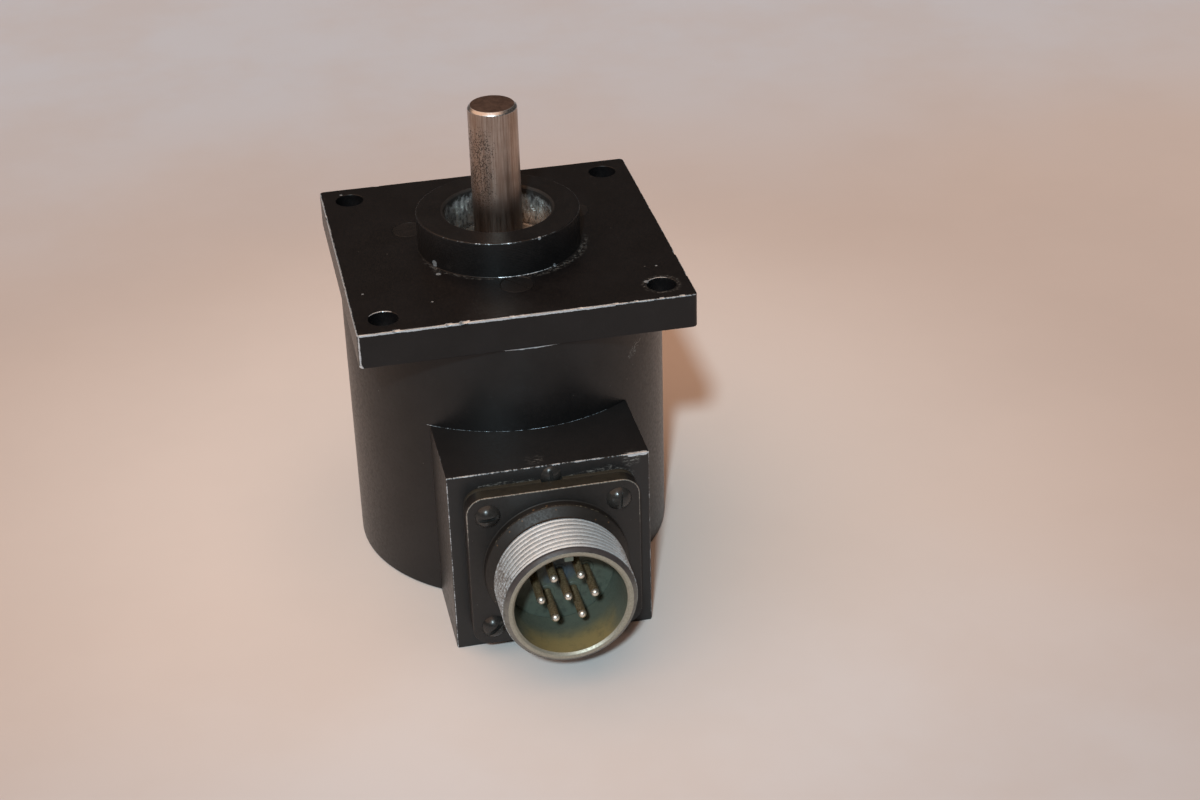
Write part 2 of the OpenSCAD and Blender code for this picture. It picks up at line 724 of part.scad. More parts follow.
module connector_shell() color(worn_plating) on_connector() difference() {
    union() {
        rounded_plate(conn_flange_w, conn_corner_r, conn_flange_back, conn_flange_front);
        rotate_extrude() polygon([[0, skirt_back], [skirt_r, skirt_back], [skirt_r, conn_flange_back + 1],
            [collar_r, conn_flange_back + 1], [collar_r, collar_end], [undercut_r, undercut_start],
            [undercut_r, thread_start - thread_lead], [thread_r, thread_start], [thread_r, thread_end],
            [rim_r, thread_end + thread_lead], [rim_r, rim - rim_chamfer], [rim_r - rim_chamfer, rim],
            [0, rim]]);
    }
    difference() {
        rod(socket_r, skirt_back - eps, rim + eps);
        translate([-key_w / 2, socket_r - key_h, insert_front])
            cube([key_w, key_h + 1, rim - 0.8 - insert_front]);
    }
    translate([0, 0, rim - edge]) cylinder(r1 = socket_r, r2 = socket_r + 2 * edge, h = 2 * edge);
    at_corners(conn_screw_spacing) rod(plate_hole_r, conn_flange_back - eps, conn_flange_front + eps, $fn = 32);
}

module connector_insert() color(insert_blue) on_connector() difference() {
    rod(socket_r - slip, insert_back, insert_front);
    for (c = contact_places) translate([c[0], c[1], 0]) {
        rod(pin_d / 2 + slip, insert_back - eps, insert_front + eps, $fn = 32);
        rod(pin_body_r + slip, insert_back - eps, pin_shoulder, $fn = 32);
    }
}

module insert_retainer() color(aluminium) on_connector() difference() {
    ring(socket_r - slip, 9, insert_back - 1.5, insert_back);
    for (s = [-1, 1]) translate([s * 9.8, 0, 0]) rod(0.5, insert_back - 2, insert_back - 0.8, $fn = 24);
}

// Seven pins, each with a solder cup at its inner end
module contact_pins() color(brass) on_connector() for (c = contact_places) translate([c[0], c[1], 0])
    difference() {
        union() {
            rod(pin_d / 2, pin_shoulder - 0.1, pin_tip - pin_d / 2, $fn = 32);
            translate([0, 0, pin_tip - pin_d / 2]) sphere(d = pin_d, $fn = 32);
            rod(pin_body_r, cup_back, pin_shoulder, $fn = 32);
        }
        rod(cup_bore_r, cup_back - eps, cup_back + cup_depth, $fn = 32);
        translate([-2, 0, cup_back - eps]) cube([4, 2, cup_depth - 0.8]);
    }

// Slot directions of the four connector screws, as they were left
slot_angles = [[40, 8], [15, 80]];

module connector_screws() color(black_paint) on_connector() for (ix = [0, 1], iy = [0, 1])
    translate([(ix - 0.5) * conn_screw_spacing, (iy - 0.5) * conn_screw_spacing, conn_flange_front])
        dome_head_screw(2.4, 1.5, 1.38, 9.5, slot_angles[ix][iy]);

// Leads in order along the header, each going to the contact with that index
lead_contacts = [4, 5, 3, 0, 2, 6, 1];

module signal_leads() color(lead_white) for (i = [0:6]) {
    c = contact_places[lead_contacts[i]];
    start = [(i - 3) * header_pitch, -header_front, header_z];
    mouth = [c[0], -cup_back + 0.6, conn_z + c[1]];
    steps = 11;
    curve = [for (k = [0:steps])
        bezier(start - [0, 0.5, 0], start - [0, 4, 0], mouth + [0, 4.5, 0], mouth, k / steps)];
    swept_tube(concat([start], curve, [mouth - [0, 0.6, 0], mouth - [0, cup_depth, 0]]), lead_r);
}

// ---------- Assembly ----------

mounting_flange();
flange_screws();
flange_oring();
housing();
bearing_cartridge();
front_outer_ring();
front_shields();
rear_outer_ring();
rear_shields();
outer_spacer();
preload_washer();
bearing_retaining_ring();
led_holder();
led();
led_holder_screws();
led_leads();
reticle();
reticle_holder();
sensor_array();
main_board();
upper_standoffs();
lower_standoffs();
driver_chips();
capacitors();
board_header();
signal_leads();
connector_gasket();
connector_shell();
connector_insert();
insert_retainer();
contact_pins();
connector_screws();
block_screw();
rear_cover();
rear_cover_oring();
rear_cover_screws();
shaft();
front_inner_ring();
rear_inner_ring();
inner_spacer();
front_shaft_clip();
rear_shaft_clip();
disc_hub();
hub_set_screws();
code_disc();
disc_clamp();
disc_clamp_screws();
front_bearing_balls();
front_bearing_cage();
rear_bearing_balls();
rear_bearing_cage();
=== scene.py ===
"""Looks of the rotary encoder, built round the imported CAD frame.
Shapes are made in millimetres in the frame's own axes, and scaled to metres as each piece is finished."""

import functools
import json
import math

import bmesh
import bpy
from mathutils import Matrix, Vector, noise


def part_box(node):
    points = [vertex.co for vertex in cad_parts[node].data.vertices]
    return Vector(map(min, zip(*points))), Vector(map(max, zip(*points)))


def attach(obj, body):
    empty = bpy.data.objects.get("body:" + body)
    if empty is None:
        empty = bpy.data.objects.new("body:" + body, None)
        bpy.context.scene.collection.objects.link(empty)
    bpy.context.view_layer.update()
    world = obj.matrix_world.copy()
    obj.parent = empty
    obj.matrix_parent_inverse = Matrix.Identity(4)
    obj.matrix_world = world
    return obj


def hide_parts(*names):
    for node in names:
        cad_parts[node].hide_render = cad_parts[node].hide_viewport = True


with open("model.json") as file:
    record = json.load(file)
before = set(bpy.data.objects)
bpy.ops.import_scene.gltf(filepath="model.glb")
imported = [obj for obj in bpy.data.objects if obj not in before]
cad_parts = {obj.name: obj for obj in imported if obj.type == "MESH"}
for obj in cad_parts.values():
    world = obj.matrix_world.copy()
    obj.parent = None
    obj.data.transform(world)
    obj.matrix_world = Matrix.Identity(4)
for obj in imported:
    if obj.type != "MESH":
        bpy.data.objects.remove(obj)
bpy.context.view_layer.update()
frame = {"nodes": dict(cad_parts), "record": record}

MM = 0.001

# ---------------------------------------------------------------- sizes read from the frame


def node_box(node):
    """Lowest and highest corner of a CAD node, in millimetres."""
    low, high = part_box(node)
    return low / MM, high / MM


SLOT_OF = {part["node"]: part["material_slot"] for part in frame["record"]["subparts"]}


flange_low, flange_high = node_box("mounting_flange")
FLANGE_W = flange_high.x - flange_low.x
FLANGE_Z = flange_low.z
PILOT_TOP = flange_high.z
can_low, can_high = node_box("housing")
CAN_R = can_high.y
FLOOR_Z = can_low.z
BLOCK_FRONT = -can_low.y
shell_low, shell_high = node_box("connector_shell")
CONN_W = shell_high.x - shell_low.x
CONN_Z = (shell_high.z + shell_low.z) / 2
RIM = -shell_low.y
SKIRT_BACK = -shell_high.y
shaft_low, shaft_high = node_box("shaft")
SHAFT_R = shaft_high.x
SHAFT_TOP = shaft_high.z
SHAFT_BOTTOM = shaft_low.z

# ---------------------------------------------------------------- sizes of details

CORNER_R = 0.9             # mounting flange's vertical corners
MOUNT_AT = 26.2            # mounting holes' distance from the axis along X and Y
MOUNT_HOLE_R = 2.775
PILOT_R = 15.875
RECESS_R = 10.5
NOSE_R = 12.71             # counterbore under the flange
NOSE_Z = -0.6
SCREW_CIRCLE = 19.1
FLANGE_SCREW_R = 3.15
# Flange screws: degrees round the circle, gap round the head, how far it is sunk, and depth of its slot.
# Paint fills the gaps and slots of all but the front one.
FLANGE_SCREWS = ((30, 0.008, 0.005, 0.02), (150, 0.008, 0.005, 0.02), (270, 0.10, 0.06, 0.10))
HEAD_HOLE_R = 1.56         # under the countersinks in the flange and the cover
WALL_HOLE_R = 1.6          # for the flange screws, through the housing's top wall
ORING_IN = 26.45           # groove under the flange
ORING_OUT = 28.55
BLOCK_HALF = 19.05         # connector block's half width
BLOCK_TOP = FLOOR_Z + 38.1
CAN_IN = 28.6
LID_SEAT_R = 29.8
LID_Z = FLOOR_Z + 3
TOP_WALL_Z = FLANGE_Z - 4
CARTRIDGE_HOLE_R = 12.8    # through the housing's top wall, for the bearing cartridge
PORT_R = 13.5
PORT_BACK = 20.0           # where the port opens into the housing, from the shaft's axis
CONN_SCREW_AT = 12.3       # connector screws' distance from its axis along X and Z
CONN_HOLE_R = 1.6
CONN_TAP_R = 1.42
CONN_TAP_DEPTH = 7.0
PLATE_BACK = BLOCK_FRONT + 1
PLATE_FRONT = BLOCK_FRONT + 3.9
PLATE_CORNER_R = 3.5
PLATE_TOP = CONN_Z + CONN_W / 2
COLLAR_R = 13.6
COLLAR_END = 50.3
UNDERCUT_R = 11.9
UNDERCUT_START = 51.7
THREAD_R = 12.6
THREAD_PITCH = 1.27
THREAD_DEPTH = 0.18
# Radii between which the thread's bare metal sets in.
WORN_FLANK = (THREAD_R - 1.6 * THREAD_DEPTH, THREAD_R - 0.8 * THREAD_DEPTH)
THREAD_START = 52.9
THREAD_END = 62.25
LAND_R = 12.2
RIM_CHAMFER = 0.6
RIM_FACE_R = LAND_R - RIM_CHAMFER
SOCKET_R = 10.5
MOUTH_CHAMFER = 0.42
SKIRT_R = 13.3
KEY_HALF = 0.8             # half width of the key in the socket
KEY_H = 1.2
INSERT_FRONT = 51.5
INSERT_BACK = 40.5
PIN_R = 0.794
PIN_TIP = 60.5
PIN_SHOULDER = 50.5
PIN_BODY_R = 1.2
PIN_BACK = 34.5
PIN_CIRCLE_R = 5.0
BLOCK_SCREW_X = 0.4
BLOCK_SCREW_DROP = 2.3     # from the block's top face to the screw's axis
BLOCK_SCREW_HEAD_R = 1.95
BLOCK_SCREW_HEAD_H = 0.95
BLOCK_SCREW_R = 1.25
BLOCK_SCREW_LENGTH = 4.0
LID_SCREW_CIRCLE = 24.5
LID_SCREW_ANGLES = range(45, 360, 90)
STUB_R = 4
STUB_Z = -33.4


def on_circle(radius, degrees):
    a = math.radians(degrees)
    return radius * math.cos(a), radius * math.sin(a)


PIN_PLACES = [(0, 0)] + [on_circle(PIN_CIRCLE_R, degrees) for degrees in range(0, 360, 60)]

# ---------------------------------------------------------------- mesh toolkit


def wobble(x, y=0.0, scale=1.0):
    """Smooth repeatable noise, about -1 to 1."""
    return noise.noise(Vector((x * scale + 3.7, y * scale - 1.9, 8.3)))


def softened(path):
    """Path of (x, y, reach): each corner becomes a curve that starts and ends at reach from it."""
    steps = 4
    points = []
    for i, (x, y, reach) in enumerate(path):
        p = Vector((x, y))
        if reach == 0 or i in (0, len(path) - 1):
            points.append((x, y))
            continue
        before = Vector(path[i - 1][:2])
        after = Vector(path[i + 1][:2])
        start = p + (before - p).normalized() * reach
        end = p + (after - p).normalized() * reach
        for k in range(steps + 1):
            t = k / steps
            q = start * (1 - t) ** 2 + p * 2 * t * (1 - t) + end * t * t
            points.append((q.x, q.y))
    return points


def circle(r, z, n, cx=0.0, cy=0.0):
    """Points of a circle about a vertical axis."""
    turn = 2 * math.pi / n
    return [(cx + r * math.cos(turn * i), cy + r * math.sin(turn * i), z) for i in range(n)]


def square_outline(w, h, r, step, corner_steps):
    """Rounded rectangle, anticlockwise, as (point, outward direction) pairs in 2-D."""
    outline = []
    for k in range(4):
        c, s = ((1, 0), (0, 1), (-1, 0), (0, -1))[k]
        half_out, half_along = (w / 2, h / 2 - r) if k % 2 == 0 else (h / 2, w / 2 - r)
        n = max(2, round(2 * half_along / step))
        places = [(half_out, -half_along + 2 * half_along * i / n, 1, 0) for i in range(n)]
        for i in range(corner_steps):
            a = math.pi / 2 * i / corner_steps
            u, v = math.cos(a), math.sin(a)
            places.append((half_out - r + r * u, half_along + r * v, u, v))
        for x, y, u, v in places:
            outline.append((Vector((c * x - s * y, s * x + c * y)), Vector((c * u - s * v, s * u + c * v))))
    return outline


def in_scene(name, data):
    obj = bpy.data.objects.new(name, data)
    bpy.context.scene.collection.objects.link(obj)
    return obj


class Builder:
    """Rings of vertices joined by strips and flat fills into one closed mesh."""

    def __init__(self):
        self.bm = bmesh.new()

    def ring(self, points):
        return [self.bm.verts.new(p) for p in points]

    def strip(self, a, b, mat=0):
        for i in range(len(a)):
            j = (i + 1) % len(a)
            self.bm.faces.new((a[i], a[j], b[j], b[i])).material_index = mat

    def strips(self, *rings, mat=0):
        for a, b in zip(rings, rings[1:]):
            self.strip(a, b, mat)

    def edges_round(self, loops):
        pairs = [(v, loop[(i + 1) % len(loop)]) for loop in loops for i, v in enumerate(loop)]
        return [self.bm.edges.get(pair) or self.bm.edges.new(pair) for pair in pairs]

    def fill(self, *loops):
        """Flat face bounded by an outer loop, with the other loops as holes in it."""
        bmesh.ops.triangle_fill(self.bm, use_beauty=True, edges=self.edges_round(loops), normal=(0, 0, 1))

    def bridge(self, first, second, mat):
        """Joins two rings whose points don't line up."""
        made = bmesh.ops.bridge_loops(self.bm, edges=self.edges_round((first, second)))
        for f in made["faces"]:
            f.material_index = mat

    def lathe(self, path, n=96, cx=0.0, cy=0.0, mat=0):
        """Turns a path of (radius, height) about a vertical axis. Returns its first and last rings."""
        rings = [self.ring(circle(r, z, n, cx, cy)) for r, z in path]
        self.strips(*rings, mat=mat)
        return rings[0], rings[-1]

    def rod(self, path, n=96, cx=0.0, cy=0.0):
        """Turned solid, closed with a flat face wherever the path doesn't end on the axis."""
        for end, (r, _) in zip(self.lathe(path, n, cx, cy), (path[0], path[-1])):
            if r > 0:
                self.bm.faces.new(end)

    def piece(self, name, materials=()):
        """Finishes the mesh as an object: merged, outward facing, smooth but for its sharp edges."""
        bmesh.ops.remove_doubles(self.bm, verts=self.bm.verts[:], dist=1e-4)
        bmesh.ops.dissolve_degenerate(self.bm, dist=1e-5, edges=self.bm.edges[:])
        bmesh.ops.recalc_face_normals(self.bm, faces=self.bm.faces[:])
        mesh = bpy.data.meshes.new(name)
        self.bm.to_mesh(mesh)
        self.bm.free()
        obj = in_scene(name, mesh)
        for m in materials:
            mesh.materials.append(m)
        shade(obj)
        return obj


def shade(obj):
    """Smooth faces, with the edges over a limit of angle kept crisp."""
    bm = bmesh.new()
    bm.from_mesh(obj.data)
    limit = math.radians(32)
    for e in bm.edges:
        e.smooth = len(e.link_faces) == 2 and e.calc_face_angle(0) < limit
    for f in bm.faces:
        f.smooth = True
    bm.to_mesh(obj.data)
    bm.free()


def combine(obj, operation, tools):
    """Joins or cuts obj with closed tools, which are used up."""
    for t in tools:
        m = obj.modifiers.new("combine", "BOOLEAN")
        m.operation = operation
        m.solver = "EXACT"
        m.object = t
    bpy.context.view_layer.update()
    result = bpy.data.meshes.new_from_object(obj.evaluated_get(bpy.context.evaluated_depsgraph_get()))
    obj.modifiers.clear()
    old = obj.data
    obj.data = result
    bpy.data.meshes.remove(old)
    for t in tools:
        bpy.data.meshes.remove(t.data)
    shade(obj)
    return obj


def tool(path, n=96, cx=0.0, cy=0.0):
    """Turned cutting tool."""
    b = Builder()
    b.rod(path, n, cx, cy)
    return b.piece("tool")


def drill(r, start, end, n=96, cx=0.0, cy=0.0):
    """Plain round cutting tool from one height to another."""
    return tool(((0, start), (r, start), (r, end), (0, end)), n, cx, cy)


def moved(obj, matrix):
    obj.data.transform(matrix)
    return obj


def joined(name, parts):
    """One object from several meshes that share their materials."""
    bm = bmesh.new()
    for p in parts:
        bm.from_mesh(p.data)
    mesh = bpy.data.meshes.new(name)
    bm.to_mesh(mesh)
    bm.free()
    for m in parts[0].data.materials:
        mesh.materials.append(m)
    for p in parts:
        bpy.data.meshes.remove(p.data)
    return in_scene(name, mesh)


def evened(obj, bevel=0.0):
    """Last step for a shape: fine rounded edges and shading weighted to the large faces."""
    if bevel:
        m = obj.modifiers.new("rounded edges", "BEVEL")
        m.width = bevel * MM
        m.segments = 2
        m.limit_method = "ANGLE"
        m.angle_limit = math.radians(38)
        m.harden_normals = True
    m = obj.modifiers.new("even shading", "WEIGHTED_NORMAL")
    m.keep_sharp = True
    return obj


TO_METRES = Matrix.Scale(MM, 4)
# Connector pieces are built with +Z outwards and +Y up, then turned to face -Y.
FACING_OUT = Matrix.Translation((0, 0, CONN_Z)) @ Matrix.Rotation(math.pi / 2, 4, "X")


def finished(obj, body, node, bevel=0.0):
    """Scales a piece to metres, puts it on its body and lets it stand for a CAD node."""
    moved(obj, TO_METRES)
    evened(obj, bevel)
    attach(obj, body)
    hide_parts(node)
    return obj

# ---------------------------------------------------------------- material toolkit


class Material:
    """A Principled material with short ways to add texture nodes. Object coordinates are in millimetres."""

    def __init__(self, name, roughness=0.5, metallic=0.0, **sockets):
        self.data = bpy.data.materials.new(name)
        self.data.use_nodes = True
        self.tree = self.data.node_tree
        self.shader = self.tree.nodes["Principled BSDF"]
        self.shader.inputs["Roughness"].default_value = roughness
        self.shader.inputs["Metallic"].default_value = metallic
        for key, value in sockets.items():
            self.shader.inputs[key.replace("_", " ")].default_value = value
        coords = self.node("TexCoord")
        self.at = self.vector("SCALE", coords.outputs["Object"], scale=1 / MM)
        axes = self.node("SeparateXYZ")
        self.tree.links.new(self.at, axes.inputs[0])
        self.x, self.y, self.z = axes.outputs

    def node(self, kind):
        return self.tree.nodes.new("ShaderNode" + kind)

    def set(self, socket, value):
        if isinstance(value, bpy.types.NodeSocket):
            self.tree.links.new(value, socket)
        elif isinstance(value, tuple) and len(value) == 3 and socket.type == "RGBA":
            socket.default_value = (*value, 1)
        else:
            socket.default_value = value

    def out(self, name, value):
        self.set(self.shader.inputs[name], value)

    def vector(self, op, a, b=None, scale=None):
        n = self.node("VectorMath")
        n.operation = op
        self.set(n.inputs[0], a)
        if b is not None:
            self.set(n.inputs[1], b)
        if scale is not None:
            self.set(n.inputs["Scale"], scale)
        return n.outputs["Value"] if op in ("LENGTH", "DISTANCE", "DOT_PRODUCT") else n.outputs["Vector"]

    def math(self, op, a, b=None, clamp=False):
        n = self.node("Math")
        n.operation = op
        n.use_clamp = clamp
        self.set(n.inputs[0], a)
        if b is not None:
            self.set(n.inputs[1], b)
        return n.outputs[0]

    def add(self, a, b):
        return self.math("ADD", a, b)

    def minus(self, a, b):
        return self.math("SUBTRACT", a, b)

    def times(self, a, b):
        return self.math("MULTIPLY", a, b)

    def most(self, *values):
        return functools.reduce(lambda a, b: self.math("MAXIMUM", a, b), values)

    def across(self, a, b):
        """Length of the diagonal of a and b."""
        return self.math("SQRT", self.add(self.times(a, a), self.times(b, b)))

    def fall(self, distance, reach):
        """1 at no distance, falling to 0 at reach."""
        return self.math("SUBTRACT", 1.0, self.times(distance, 1 / reach), clamp=True)

    def ramp(self, value, low, high, to_low=0.0, to_high=1.0):
        """Smooth step of value from low to high."""
        n = self.node("MapRange")
        n.interpolation_type = "SMOOTHSTEP"
        limits = {"From Min": low, "From Max": high, "To Min": to_low, "To Max": to_high}
        for key, v in {"Value": value, **limits}.items():
            self.set(n.inputs[key], v)
        return n.outputs["Result"]

    def mix(self, factor, a, b):
        n = self.node("Mix")
        n.data_type = "RGBA"
        self.set(n.inputs["Factor"], factor)
        self.set(n.inputs[6], a)
        self.set(n.inputs[7], b)
        return n.outputs[2]

    def stretch(self, x, y, z):
        return self.vector("MULTIPLY", self.at, (x, y, z))

    def noise(self, scale, detail=3.0, rough=0.55, at=None):
        n = self.node("TexNoise")
        self.set(n.inputs["Vector"], self.at if at is None else at)
        n.inputs["Scale"].default_value = scale
        n.inputs["Detail"].default_value = detail
        n.inputs["Roughness"].default_value = rough
        return n.outputs["Fac"]

    def ragged(self, value, scale, amount):
        """value with noise added or taken away, so that its outline frays."""
        return self.add(value, self.times(self.minus(self.noise(scale, 3, 0.65), 0.5), amount))

    def specks(self, spacing, size, share):
        """Round specks up to size across, on a share of the cells of a grid of that spacing."""
        n = self.node("TexVoronoi")
        self.set(n.inputs["Vector"], self.at)
        n.inputs["Scale"].default_value = 1 / spacing
        parts = self.node("SeparateColor")
        self.tree.links.new(n.outputs["Color"], parts.inputs[0])
        picked = self.math("LESS_THAN", parts.outputs[0], share)
        radius = self.times(parts.outputs[1], size / spacing)
        inside = self.ramp(self.minus(radius, n.outputs["Distance"]), 0.0, 0.08)
        return self.times(picked, inside)

    def tool_rings(self, along, pitch):
        return self.math("SINE", self.times(along, 2 * math.pi / pitch))

    def bump(self, height, strength, reach=0.03):
        n = self.node("Bump")
        n.inputs["Strength"].default_value = strength
        n.inputs["Distance"].default_value = reach * MM
        self.set(n.inputs["Height"], height)
        self.tree.links.new(n.outputs["Normal"], self.shader.inputs["Normal"])

    def near(self, centre, reach):
        """1 at a point, falling to 0 at reach from it."""
        return self.fall(self.vector("DISTANCE", self.at, centre), reach)

    def along(self, a, b, reach):
        """1 on the line from a to b, falling to 0 at reach from it."""
        a, b = Vector(a), Vector(b)
        line = b - a
        from_a = self.vector("SUBTRACT", self.at, tuple(a))
        share = self.vector("DOT_PRODUCT", from_a, tuple(line / line.length_squared))
        nearest = self.vector("SCALE", tuple(line), scale=self.math("ADD", share, 0.0, clamp=True))
        return self.fall(self.vector("DISTANCE", from_a, nearest), reach)

    def worn_lines(self, lines):
        """Masks of lines given as (start, end, reach, level)."""
        return [self.times(self.along(start, end, reach), level) for start, end, reach, level in lines]

    def radius(self, axis="Z", cx=0.0, cy=0.0):
        """Distance from the shaft's axis, from another vertical one, or with "Y" from the connector's."""
        centre, keep = ((cx, cy, 0.0), (1, 1, 0)) if axis == "Z" else ((0.0, 0.0, CONN_Z), (1, 0, 1))
        off = self.vector("SUBTRACT", self.at, centre)
        return self.vector("LENGTH", self.vector("MULTIPLY", off, keep))

    def plate_edge(self, reach):
        """1 on the front edge of the connector's rounded square plate, falling to 0 at reach from it."""
        straight = CONN_W / 2 - PLATE_CORNER_R
        off = self.vector("ABSOLUTE", self.vector("SUBTRACT", self.at, (0, 0, CONN_Z)))
        past = self.vector("MAXIMUM", self.vector("SUBTRACT", off, (straight, 0, straight)), (0, 0, 0))
        from_corner = self.vector("LENGTH", self.vector("MULTIPLY", past, (1, 0, 1)))
        out = self.minus(from_corner, PLATE_CORNER_R)
        return self.fall(self.across(out, self.add(self.y, PLATE_FRONT)), reach)

    def ring_out(self, r, y, reach):
        """1 on a circle about the connector's axis, falling to 0 at reach from it."""
        return self.fall(self.across(self.minus(self.radius("Y"), r), self.minus(self.y, y)), reach)

    def rim(self, r, z, reach, facing=None, spread=(0.2, 0.9), cx=0.0, cy=0.0):
        """1 on a horizontal circle, falling to 0 at reach from it, on the side that faces a direction."""
        on = self.fall(self.across(self.minus(self.radius(cx=cx, cy=cy), r), self.minus(self.z, z)), reach)
        if facing is None:
            return on
        off = self.vector("MULTIPLY", self.vector("SUBTRACT", self.at, (cx, cy, 0)), (1, 1, 0))
        toward = self.vector("DOT_PRODUCT", self.vector("NORMALIZE", off), (*facing, 0))
        return self.times(on, self.ramp(toward, *spread))


def shaded(colour, share):
    return tuple(share * c for c in colour)


BARE_METAL = (0.72, 0.82, 0.90)
DUST = (0.27, 0.25, 0.23)


def black_paint(name, wear_and_highlights=None, scuffs=None, base=(0.0070, 0.0066, 0.0068), roughness=0.36, turned=0.0,
                pale=None):
    """Satin black finish over aluminium. wear is a function that lists where metal shows, from 0 to 1, as
    worn edges and painted highlights, scuffs one that lists where the finish is only rubbed grey, and pale
    one that gives where it is paler."""
    m = Material(name, roughness=roughness, Specular_IOR_Level=0.40)
    fine = m.noise(1.6, 4, 0.65)
    grain = m.noise(9.0, 2, 0.5)
    colour = m.mix(m.ramp(m.noise(0.12, 3, 0.6), 0.35, 0.7), base, shaded(base, 1.5))
    haze = m.times(m.ramp(m.noise(0.5, 5, 0.7), 0.56, 0.78), 0.03)
    colour = m.mix(haze, colour, (0.16, 0.15, 0.14))
    specks = m.most(m.specks(1.3, 0.20, 0.10), m.specks(4.1, 0.36, 0.16))
    colour = m.mix(m.times(specks, 0.35), colour, DUST)
    if pale:
        colour = m.mix(pale(m), colour, (0.026, 0.025, 0.025))
    if scuffs:
        lines = m.ramp(m.noise(1.0, 4, 0.75, m.stretch(1.3, 2.2, 3.4)), 0.50, 0.64)
        rubbed = m.times(m.ramp(m.most(*scuffs(m)), 0.15, 0.6), lines)
        colour = m.mix(m.times(rubbed, 0.6), colour, (0.30, 0.29, 0.27))
    if wear_and_highlights:
        bare = m.ramp(m.ragged(m.ragged(m.most(*wear_and_highlights(m)), 0.55, 0.55), 3.5, 0.5), 0.40, 0.58)
        colour = m.mix(bare, colour, BARE_METAL)
        m.out("Metallic", m.times(bare, 0.85))
    m.out("Base Color", colour)
    rough = m.add(m.ramp(fine, 0.25, 0.8, roughness - 0.07, roughness + 0.12), m.times(specks, 0.3))
    m.out("Roughness", rough)
    height = m.add(m.add(m.times(grain, 0.25), m.times(fine, 0.3)), m.times(specks, 0.5))
    if turned:
        rings = m.tool_rings(m.add(m.radius(), m.z), 0.35)
        height = m.add(height, m.times(rings, turned))
    if wear_and_highlights:
        height = m.add(height, m.times(bare, -0.8))
    m.bump(height, 0.35)
    return m.data


def turned_metal(name, colour, roughness=0.28, stain=(0.25, 0.22, 0.19), stains=0.25):
    """Machined metal with fine tool rings and darker stains."""
    m = Material(name, roughness=roughness, metallic=1.0)
    fine = m.noise(3.0, 3, 0.6)
    patches = m.times(m.ramp(m.noise(0.45, 5, 0.65), 0.62 - stains * 0.3, 0.80 - stains * 0.3), 0.7)
    shade_of = m.mix(m.ramp(fine, 0.3, 0.75), colour, shaded(colour, 0.8))
    m.out("Base Color", m.mix(patches, shade_of, stain))
    rough = m.ramp(fine, 0.2, 0.8, roughness - 0.06, roughness + 0.1)
    m.out("Roughness", m.add(rough, m.times(patches, 0.2)))
    rings = m.tool_rings(m.add(m.z, m.radius()), 0.2)
    m.bump(m.add(m.times(rings, 0.3), m.noise(1.2, 3, 0.6, m.stretch(0.3, 0.3, 6.0))), 0.25, 0.02)
    return m.data


def moulded(name, colour, roughness, metallic=0.0, variation=0.25, bump=0.15, **sockets):
    """Moulded or plated surface with gentle changes of tone and gloss."""
    scale = 1.2
    m = Material(name, roughness=roughness, metallic=metallic, **sockets)
    cloud = m.noise(scale, 4, 0.6)
    m.out("Base Color", m.mix(m.ramp(cloud, 0.3, 0.7), shaded(colour, 1 - variation), colour))
    m.out("Roughness", m.ramp(cloud, 0.25, 0.75, max(roughness - 0.08, 0.03), min(roughness + 0.1, 1.0)))
    m.bump(m.add(cloud, m.noise(scale * 9, 2, 0.5)), bump)
    return m.data


def shaft_steel():
    """Ground shaft, browned with age: drawn lines along it, fine turned rings, pits down one side, and a
    painted reflection of the black boss that darkens its foot.
    """
    m = Material("tarnished shaft steel", roughness=0.32, metallic=1.0)
    drawn = m.noise(1.0, 4, 0.65, m.stretch(3.2, 3.2, 0.10))
    cloud = m.noise(0.22, 4, 0.6)
    colour = m.mix(m.ramp(drawn, 0.3, 0.72), (0.30, 0.23, 0.19), (0.56, 0.48, 0.43))
    colour = m.mix(m.times(m.ramp(cloud, 0.42, 0.7), 0.5), colour, (0.30, 0.225, 0.18))
    # Painted reflection of the black boss: the shaft darkens towards its foot.
    low = m.ramp(m.ragged(m.z, 0.5, 3.0), 13.5, 8.0)
    colour = m.mix(m.times(low, 0.6), colour, (0.20, 0.17, 0.155))
    side = m.ramp(m.x, 0.2, -2.2)
    height_share = m.times(m.ramp(m.z, 7.0, 12.0), m.ramp(m.z, SHAFT_TOP - 1.5, SHAFT_TOP - 6.0))
    share = m.times(m.times(side, height_share), m.ramp(m.noise(0.8, 4, 0.7), 0.25, 0.60))
    rough_skin = m.noise(3.9, 2, 0.55, m.stretch(1.0, 1.0, 0.85))
    pits = m.ramp(m.add(rough_skin, m.times(share, 0.19)), 0.66, 0.71)
    pits = m.most(m.times(pits, m.ramp(share, 0.02, 0.25)), m.specks(2.2, 0.2, 0.16))
    colour = m.mix(m.times(pits, 0.72), colour, (0.06, 0.042, 0.033))
    end = m.ramp(m.z, SHAFT_TOP - 0.12, SHAFT_TOP - 0.02)
    face = m.mix(m.ramp(m.noise(1.1, 4, 0.7), 0.3, 0.7), (0.055, 0.032, 0.024), (0.115, 0.070, 0.052))
    colour = m.mix(end, colour, face)
    chamfer = m.times(m.ramp(m.z, SHAFT_TOP - 0.75, SHAFT_TOP - 0.60), m.minus(1.0, end))
    colour = m.mix(m.times(chamfer, 0.9), colour, (0.70, 0.70, 0.70))
    m.out("Base Color", colour)
    m.out("Metallic", m.minus(1.0, m.times(end, 0.75)))
    foot_haze = m.ramp(m.z, 20.0, 12.0, 0.0, 0.08)
    rough = m.add(m.ramp(drawn, 0.25, 0.75, 0.24, 0.38), m.add(m.times(pits, 0.35), foot_haze))
    m.out("Roughness", m.add(rough, m.times(end, 0.2)))
    rings = m.tool_rings(m.add(m.z, m.times(end, m.radius())), 0.3)
    height = m.add(m.times(rings, m.add(m.times(low, 0.3), 0.10)), m.times(drawn, 0.5))
    m.bump(m.add(height, m.times(pits, -0.9)), 0.30)
    return m.data


